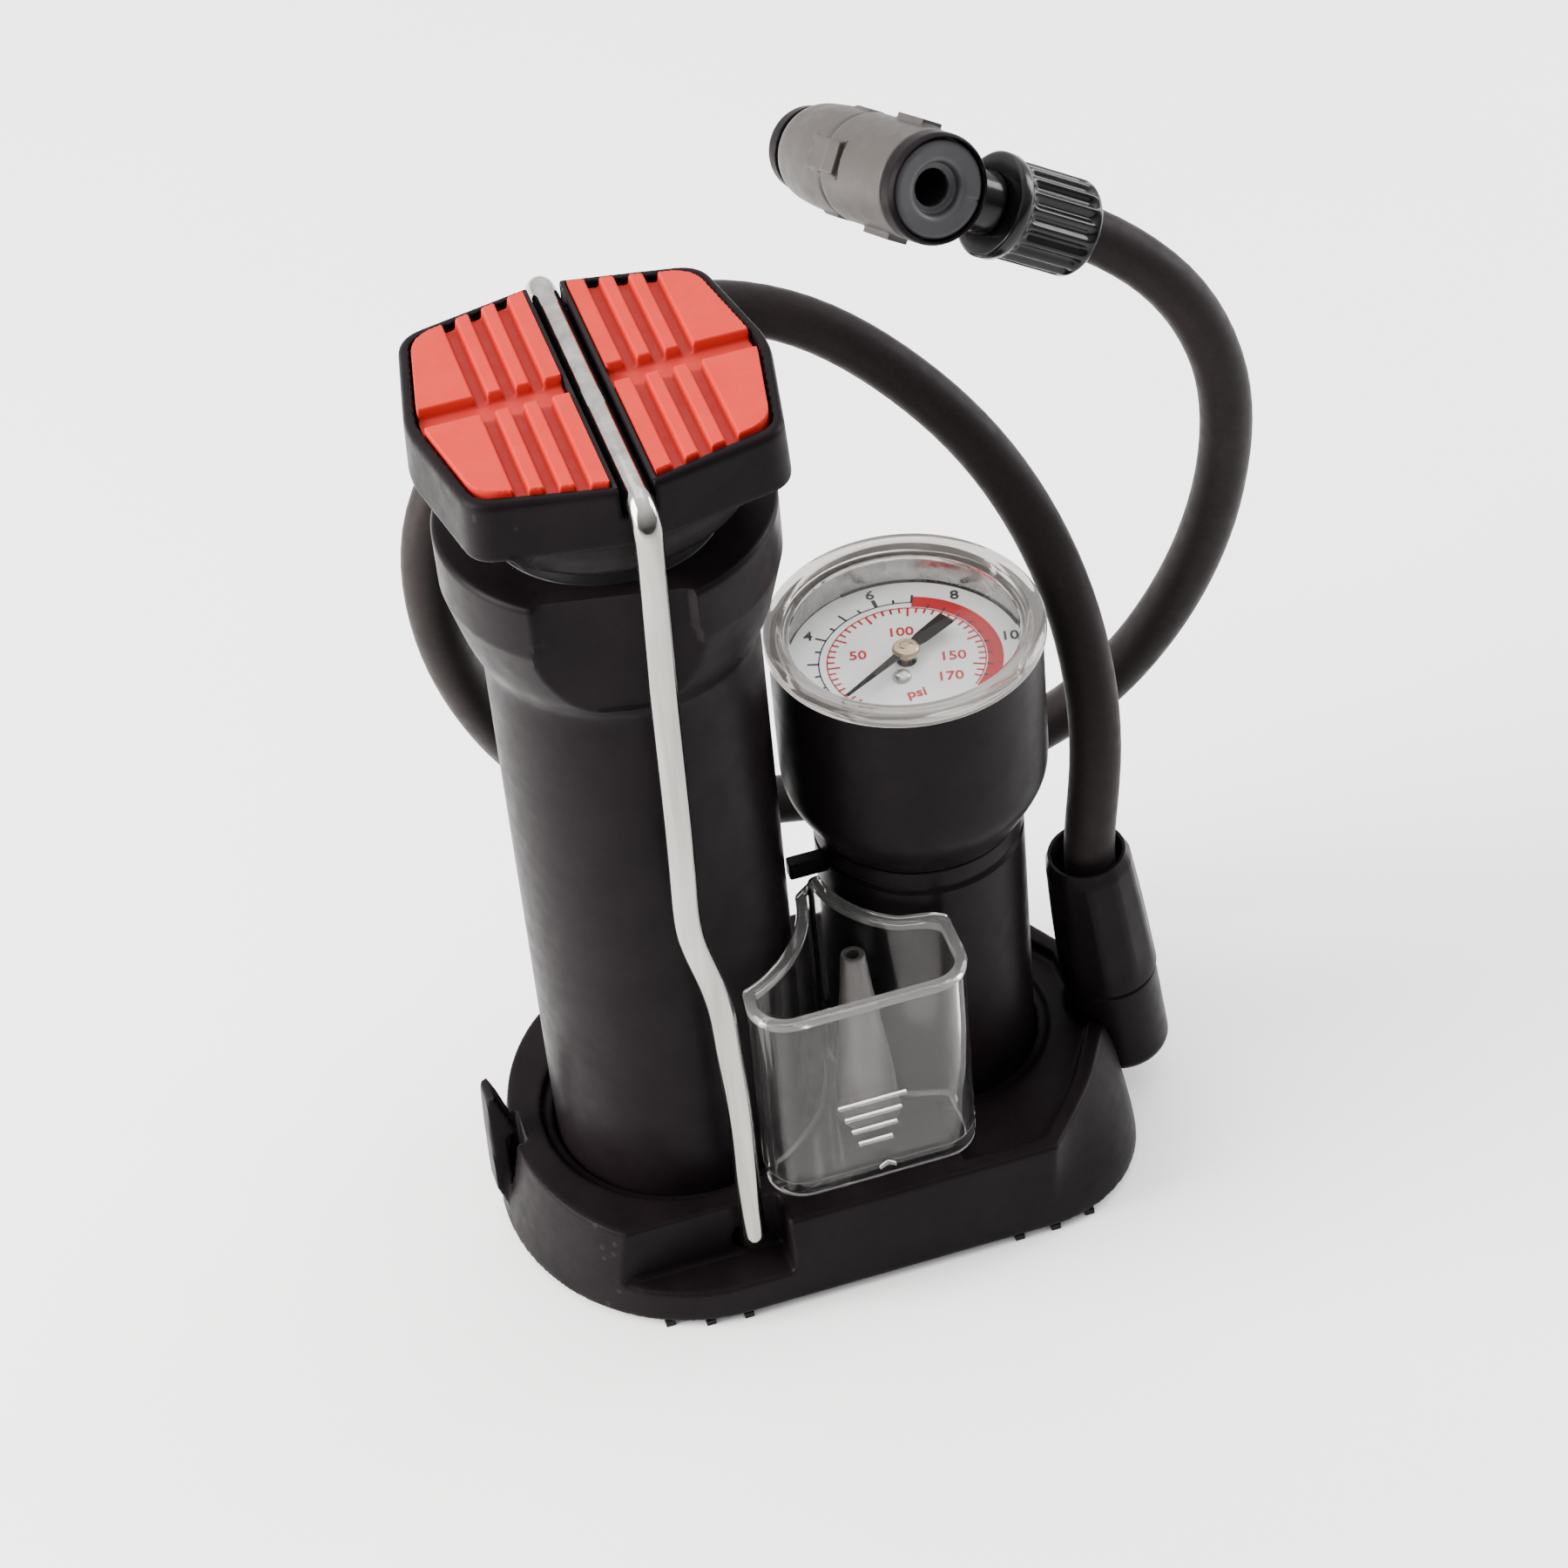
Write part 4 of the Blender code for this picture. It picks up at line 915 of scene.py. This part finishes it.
def build_gauge(paint):
    column = turned("column", rounded([
        (13.8, 65.2), (COLUMN_R, 65.2), (COLUMN_R, 62.1, 0.2), (COLUMN_R - 0.6, 61.7, 0.2),
        (COLUMN_R - 0.6, 61.1, 0.2), (COLUMN_R, 60.7, 0.2), (COLUMN_R, COLUMN_FOOT), (3.2, COLUMN_FOOT),
        (3.2, COLUMN_FOOT + 2.5), (13.8, COLUMN_FOOT + 2.5),
    ], 0.3, closed=True), GAUGE)
    finished(shaded(column), "gauge_post", paint["satin"], "pump_body", "black_plastic", "gauge_column")
    lug = slab(rounded([(20.9, -1.1), (27.2, -1.1), (27.2, 1.1), (20.9, 1.1)], 0.3, closed=True), 58.4, 61.4)
    finished(shaded(moulded(lug, 0.15, 2), 60), "gauge_post_lug", paint["satin"], "pump_body", "black_plastic")

    cup = turned("cup", rounded([
        (19.3, CUP_TOP), (CUP_R, CUP_TOP, 0.4), (CUP_R, 76.3, 2.5), (20.2, 73, 2), (18.4, 69.3, 2),
        (16.4, CUP_LOW, 0.3), (3.2, CUP_LOW), (3.2, 68), (15.6, 68), (17.8, 72.5), (19.3, 76.3),
    ], 0.3, 6, closed=True), GAUGE, sides=128)
    finished(shaded(cup, 40), "gauge_housing", paint["satin"], "pump_body", "black_plastic", "gauge_cup")

    dial = turned("dial", rounded([
        (18.0, DIAL_Z), (18.0, DIAL_Z - 0.8), (1.5, DIAL_Z - 0.8), (1.5, DIAL_Z),
    ], 0.12, closed=True), GAUGE)
    finished(shaded(dial), "dial_face", paint["dial"], "pump_body", "dial_white", "dial_plate")
    pan = turned("pan", rounded([
        (18.3, 97.6), (18.9, 97.6), (18.9, DIAL_Z - 0.7), (18.1, DIAL_Z - 0.7), (18.1, DIAL_Z + 0.1, 0.3),
    ], 0.12, closed=True), GAUGE, sides=128)
    finished(shaded(pan), "dial_pan_wall", paint["pan"], "pump_body", "steel")
    build_dial_marks(paint)

    lens = turned("lens", rounded([
        (0, 99.6), (17.3, 99.6, 0.3), (17.3, 98.2, 0.3), (0, 98.2),
    ], 0.3, 6), GAUGE, sides=128)
    finished(shaded(lens, 30), "gauge_glass", paint["glass"], "pump_body", "clear_plastic", "gauge_lens")
    rim = turned("rim", rounded([
        (17.35, 99.9, 0.5), (18.3, 101.2, 0.5), (20.2, 101.3, 0.7), (21, 100.6, 0.6),
        (21, CUP_TOP + GAP, 0.3), (19, CUP_TOP + GAP, 0.3), (18.9, 98.1, 0.4), (17.35, 98.1, 0.2),
    ], 0.4, 6, closed=True), GAUGE, sides=128)
    # its clear plastic is tinted grey as painted shade
    finished(shaded(rim, 30), "gauge_rim", paint["rim"], "pump_body", "clear_plastic")

    pointer_outline = rounded([
        (13, 0.16), (1.5, 0.62), (-1.5, 0.8), (-3.4, 1.15), (-9.2, 1.35), (-9.2, -1.35), (-3.4, -1.15),
        (-1.5, -0.8), (1.5, -0.62), (13, -0.16),
    ], 0.2, 3, closed=True)
    pointer = slab(pointer_outline, NEEDLE_Z + 0.2, NEEDLE_Z + 0.55)
    spin = Matrix.Translation(GAUGE * MM) @ Matrix.Rotation(math.radians(-150), 4, "Z")
    pointer.data.transform(spin)
    finished(pointer, "needle_pointer", paint["pointer"], "gauge_needle", "black_plastic", "needle")
    hub = turned("hub", rounded([
        (0, 96.4), (0.7, 96.4, 0.2), (1.0, 96.15, 0.2), (1.8, 96.05, 0.3), (2.1, 95.6, 0.2), (2.1, NEEDLE_Z),
        (0, NEEDLE_Z),
    ], 0.15), GAUGE, sides=64)
    finished(shaded(hub), "needle_hub", paint["brass"], "gauge_needle", "brass")


def on_dial(radius, degrees):
    angle = math.radians(degrees)
    return GAUGE.x + radius * math.cos(angle), GAUGE.y + radius * math.sin(angle)


MARK_LOW = DIAL_Z + 0.01
MARK_TOP = DIAL_Z + 0.05  # the printing stands this proud, so that it is a mesh of its own


def mark_band(inner, outer, first, last, steps, top=MARK_TOP):
    """A printed arc between two radii, angles in degrees."""
    ring = arc(GAUGE.x, GAUGE.y, outer, first, last, steps) + arc(GAUGE.x, GAUGE.y, inner, last, first, steps)
    return slab(ring, MARK_LOW, top)


def mark_tick(inner, outer, degrees, width):
    across = Vector((-math.sin(math.radians(degrees)), math.cos(math.radians(degrees)))) * width / 2
    a, b = Vector(on_dial(inner, degrees)), Vector(on_dial(outer, degrees))
    return slab([tuple(p) for p in (a - across, b - across, b + across, a + across)], MARK_LOW, MARK_TOP)


def mark_text(words, size, radius, degrees, turn):
    """Printed figures centred on a point of the dial."""
    curve = bpy.data.curves.new("figures", "FONT")
    curve.body = words
    curve.size = size * MM
    curve.align_x = "CENTER"
    curve.align_y = "CENTER"
    curve.extrude = (MARK_TOP - MARK_LOW) / 2 * MM
    curve.offset = 0.022 * size * MM
    curve.resolution_u = 3
    obj = bpy.data.objects.new("figures", curve)
    bpy.context.scene.collection.objects.link(obj)
    x, y = on_dial(radius, degrees)
    middle = Vector((x, y, (MARK_LOW + MARK_TOP) / 2)) * MM
    obj.matrix_world = Matrix.Translation(middle) @ Matrix.Rotation(math.radians(turn), 4, "Z")
    bpy.context.view_layer.update()
    mesh = bpy.data.meshes.new_from_object(obj.evaluated_get(bpy.context.evaluated_depsgraph_get()))
    mesh.transform(obj.matrix_world)
    made = bpy.data.objects.new("figures", mesh)
    bpy.context.scene.collection.objects.link(made)
    bpy.data.objects.remove(obj, do_unlink=True)
    return made


def gathered(marks):
    """Several meshes as one, left as they are."""
    solid = bmesh.new()
    for mark in marks:
        solid.from_mesh(mark.data)
        bpy.data.objects.remove(mark, do_unlink=True)
    mesh = bpy.data.meshes.new("marks")
    solid.to_mesh(mesh)
    solid.free()
    obj = bpy.data.objects.new("marks", mesh)
    bpy.context.scene.collection.objects.link(obj)
    return obj


def build_dial_marks(paint):
    """A black bar scale outside, a red psi scale inside, the red band of high pressures, and a black arc at the
    dial's edge that is painted shadow of the gap under the wall.
    """
    zero_at, per_bar = 233.0, 23.5
    upright = -14.0  # the way the figures' baselines run

    def bar_angle(bar):
        return zero_at - per_bar * bar

    black = [mark_band(12.95, 13.15, bar_angle(0), bar_angle(7), 60)]
    for half in range(0, 15):
        bar = half / 2
        whole = half % 2 == 0
        black.append(mark_tick(13.0, 14.8 if whole else 13.9, bar_angle(bar), 0.6 if half == 12 else 0.36))
    for bar in (4, 6, 8, 10):
        black.append(mark_text(str(bar), 2.8, 16.0, bar_angle(bar), upright))
    # painted shadow: a black arc where the dial meets the pan wall, standing in for the shade in the gap there
    black.append(mark_band(17.75, 18.15, 5, 105, 60))
    for bar in np.arange(7.5, 12, 0.5):
        black.append(mark_tick(12.0, 12.9, bar_angle(bar), 0.3))
    finished(gathered(black), "dial_print_and_painted_shadow", paint["ink_and_painted_shadow"], "pump_body", "black_plastic")

    psi_per_bar = 14.5
    red = [mark_band(11.7, 11.9, bar_angle(0.2), bar_angle(12), 90)]
    for step in range(1, 43):
        psi = 4 * step
        long = step % 5 == 0
        red.append(mark_tick(9.9 if long else 10.7, 11.8, bar_angle(psi / psi_per_bar), 0.34))
    for words, radius, degrees in (("50", 7.4, 151), ("100", 6.4, 80), ("150", 6.9, -14), ("170", 7.6, -50)):
        red.append(mark_text(words, 2.7, radius, degrees, upright))
    red.append(mark_text("psi", 2.7, 7.6, -97, upright + 10))
    finished(gathered(red), "dial_marks_red", paint["red_ink"], "pump_body", "red_rubber")

    band = mark_band(12.05, 14.4, bar_angle(7), bar_angle(12), 60, MARK_TOP - 0.015)
    finished(band, "dial_red_band", paint["red_ink"], "pump_body", "red_rubber")

    rivet_x, rivet_y = on_dial(3.9, -118)
    rivet = turned("rivet", rounded([
        (0, 94.3), (0.9, 94.2, 0.3), (1.35, 93.8, 0.3), (1.5, DIAL_Z), (0, DIAL_Z),
    ], 0.2), (rivet_x, rivet_y, 0), sides=48)
    finished(shaded(rivet, 60), "dial_rivet", paint["steel"], "pump_body", "steel")


# ---------------------------------------------------------------- accessory bin


def bin_outline(grow):
    """The bin in plan, curved round the barrel and the gauge column, moved out by grow."""
    left = 7.2 - grow
    right = 41.0 + grow
    front = -29.2 - grow
    round_barrel = 21.3 - grow
    start = -math.degrees(math.acos((left + 0.4) / round_barrel))
    barrel_side = arc(0, 0, round_barrel, start, -8, 24)
    gauge_side = arc(GAUGE.x, GAUGE.y, 17.3 - grow, 186, 240, 18)
    corner = 6.0 + grow
    outline = barrel_side + gauge_side + [(39.2 + grow, -14.4 + grow), (right, -15.6 + grow)]
    outline += arc(right - corner, front + corner, corner, 0, -90, 12)
    outline += arc(left + corner, front + corner, corner, -90, -180, 12)
    return rounded(outline, 0.7, 3, closed=True)


def build_bin(paint):
    """A moulded clear bin: rounded foot, a lip round its mouth, ribs to pull it by; the lip, the ribs and a thin
    shell on the foot take a hazier clear plastic as painted highlight.
    """
    def row(grow, z):
        return [(x, y, z) for x, y in bin_outline(grow)]

    ease = 2.2
    foot = [row(-ease * (1 - math.sin(a)), BIN_LOW + ease * (1 - math.cos(a)))
            for a in np.radians(np.linspace(0, 90, 9))]
    lip_low = BIN_TOP - 1.6
    wall = [row(0, lip_low - 0.02), row(-BIN_WALL, lip_low - 0.02)]
    floor_z = BIN_LOW + 1.8
    inside = [row(-BIN_WALL - 1.2 * (1 - math.cos(a)), floor_z + 1.2 * (1 - math.sin(a)))
              for a in np.radians(np.linspace(0, 90, 5))]
    body = skin("bin", foot + wall + inside)
    ribs = []
    for step in range(4):
        half = 5.4 - 0.9 * step
        z = 36.6 - 2.9 * step
        tooth = [(-29.21, z), (-29.75, z), (-29.8, z + 0.3), (-29.55, z + 0.5), (-29.21, z + 0.5)]
        ribs.append(skin("rib", [[(23.4 + end, y, height) for y, height in tooth] for end in (-half, half)]))
    chevron = [(-1.3, 21.4), (0, 22.3), (1.3, 21.4), (1.3, 21.9), (0, 22.8), (-1.3, 21.9)]
    ribs.append(skin("chevron", [[(25 + x, y, z) for x, z in chevron] for y in (-29.21, -29.6)]))
    finished(shaded(body, 30), "clear_bin", paint["clear"], "bin", "clear_plastic", "accessory_bin")
    # the ribs take the hazier clear plastic, a painted highlight
    finished(shaded(gathered(ribs), 30), "clear_bin_ribs", paint["edge"], "bin", "clear_plastic")
    # painted highlight: a thin hazier shell laid over the foot's rounding, standing in for the bright highlight
    # along the bottom edge
    foot_highlight_shell = skin("foot_highlight_shell", [
        row(-ease + reach * math.sin(a), BIN_LOW + ease - reach * math.cos(a))
        for reach, a in ((2.22, 0.55), (2.22, 1.02), (2.45, 0.96), (2.5, 0.79), (2.45, 0.61))
    ], ringed=True)
    finished(shaded(foot_highlight_shell, 30), "clear_bin_foot_painted_highlight", paint["edge"], "bin", "clear_plastic")
    lip = skin("lip", [
        row(-BIN_WALL, lip_low), row(0.05, lip_low), row(0.25, lip_low + 0.2), row(0.3, BIN_TOP - 0.6),
        row(0.18, BIN_TOP - 0.2), row(-0.1, BIN_TOP), row(-BIN_WALL + 0.4, BIN_TOP),
        row(-BIN_WALL + 0.1, BIN_TOP - 0.2), row(-BIN_WALL, BIN_TOP - 0.5),
    ], ringed=True)
    # the lip takes the hazier clear plastic, a painted highlight on the mouth's rim
    finished(shaded(lip, 30), "clear_bin_lip", paint["edge"], "bin", "clear_plastic")

    foot_at = Vector((26.0, -16.1, BIN_LOW + 2.4))
    tip = Vector((26.0, -15.2, 54.0))
    length = (tip - foot_at).length
    nozzle = turned("nozzle", rounded([
        (1.0, length, 0.2), (1.9, length, 0.5), (2.15, length - 3, 1.0), (2.6, length - 8, 3), (4.6, 8, 3),
        (4.9, 1.2, 0.4), (4.9, 0.4, 0.3), (4.5, 0, 0.3), (2.6, 0, 0.3), (1.0, 12, 2),
    ], 0.4, 5, closed=True), foot_at, tip - foot_at, 64)
    finished(shaded(nozzle, 40), "cone_nozzle_grey", paint["cloudy"], "bin", "nozzle_plastic", "cone_nozzle")


# ---------------------------------------------------------------- nodes that stay as they are


def paint_frame(paint):
    """Gives every CAD node its finish; the shape of those still shown is right as it is."""
    finishes = {
        "base_screw": "steel", "foot_pad": "hose", "air_manifold": "black", "base_cover": "black",
        "return_spring": "steel", "check_valve_spring": "steel", "check_ball": "steel", "piston_seal": "hose",
        "piston_screw": "steel", "gauge_stem": "brass", "bourdon_coil": "brass", "needle_spindle": "brass",
        "valve_depressor": "brass", "piston": "black",
    }
    for name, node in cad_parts.items():
        kind = next((k for k in sorted(finishes, key=len, reverse=True) if name.startswith(k)), None)
        node.data.materials.clear()
        node.data.materials.append(paint[finishes[kind] if kind else "black"])


def mix_paints():
    return {
        "black": black_plastic("moulded_black"),
        "satin": black_plastic("satin_black", 0.3, 0.014, (0.33, 0.44)),
        "gloss": gloss_plastic("gloss_black"),
        "hose": hose_rubber("hose_rubber"),
        "grommet": plain_plastic("grommet_rubber", (0.012, 0.0115, 0.015), (0.017, 0.0165, 0.020), 0.55),
        "grip": grip_rubber("grip_rubber"),
        "chrome": chrome("chrome_plate"),
        "steel": bare_metal("bare_steel", (0.56, 0.56, 0.55), (0.45, 0.45, 0.44), 0.3),
        "brass": bare_metal("dull_brass", (0.52, 0.42, 0.29), (0.42, 0.33, 0.22), 0.35),
        "pan": bare_metal("satin_pan", (0.50, 0.485, 0.47), (0.36, 0.35, 0.345), 0.22),
        "dial": plain_plastic("dial_enamel", (0.74, 0.76, 0.76), (0.70, 0.72, 0.73), 0.4, 0.5, 0.003),
        "glass": clear_plastic("gauge_clear", 0.0, 1.16, (0.01, 0.04)),
        # painted shade: the clear rim is tinted grey and hazed to stand in for the shaded look of its thick edge
        "rim": clear_plastic("rim_clear_painted_grey", 0.12, 1.4, (0.04, 0.1), (0.46, 0.435, 0.41)),
        "clear": clear_plastic("bin_clear", 0.002, 1.25),
        # painted highlight: a hazier, milkier copy of the bin's clear plastic for its lip, ribs and foot shell,
        # standing in for the bright light-piped edges
        "edge": clear_plastic("bin_edge_painted_highlight", 0.05, 1.36, tint=(0.80, 0.79, 0.775)),
        "cloudy": cloudy_plastic("cloudy_grey"),
        "grey": plain_plastic("warm_grey", (0.030, 0.0258, 0.0238), (0.037, 0.032, 0.0298), 0.48, specular=0.2),
        "bush": plain_plastic("bush_acetal", (0.010, 0.010, 0.011), (0.014, 0.014, 0.015), 0.4),
        # black print, and also the painted shadow arc at the dial's edge
        "ink_and_painted_shadow": plain_plastic("black_ink_and_painted_shadow", (0.012, 0.012, 0.014), (0.02, 0.02, 0.022), 0.5, 0.4, 0.001),
        "red_ink": plain_plastic("red_ink", (0.42, 0.004, 0.009), (0.36, 0.004, 0.008), 0.5, 0.4, 0.001),
        "pointer": plain_plastic("pointer_paint", (0.010, 0.009, 0.0088), (0.02, 0.0175, 0.016),
                                 0.4, 0.4, 0.002, 0.1),
    }


def main():
    add_camera()
    add_studio()
    paint = mix_paints()
    head = build_valve_head(paint)
    nut = build_nut(paint)
    build_hose(paint)
    build_socket(paint)
    build_base(paint)
    build_barrel(paint)
    build_pedal(paint)
    build_bail(paint)
    build_gauge(paint)
    build_bin(paint)
    paint_frame(paint)


main()
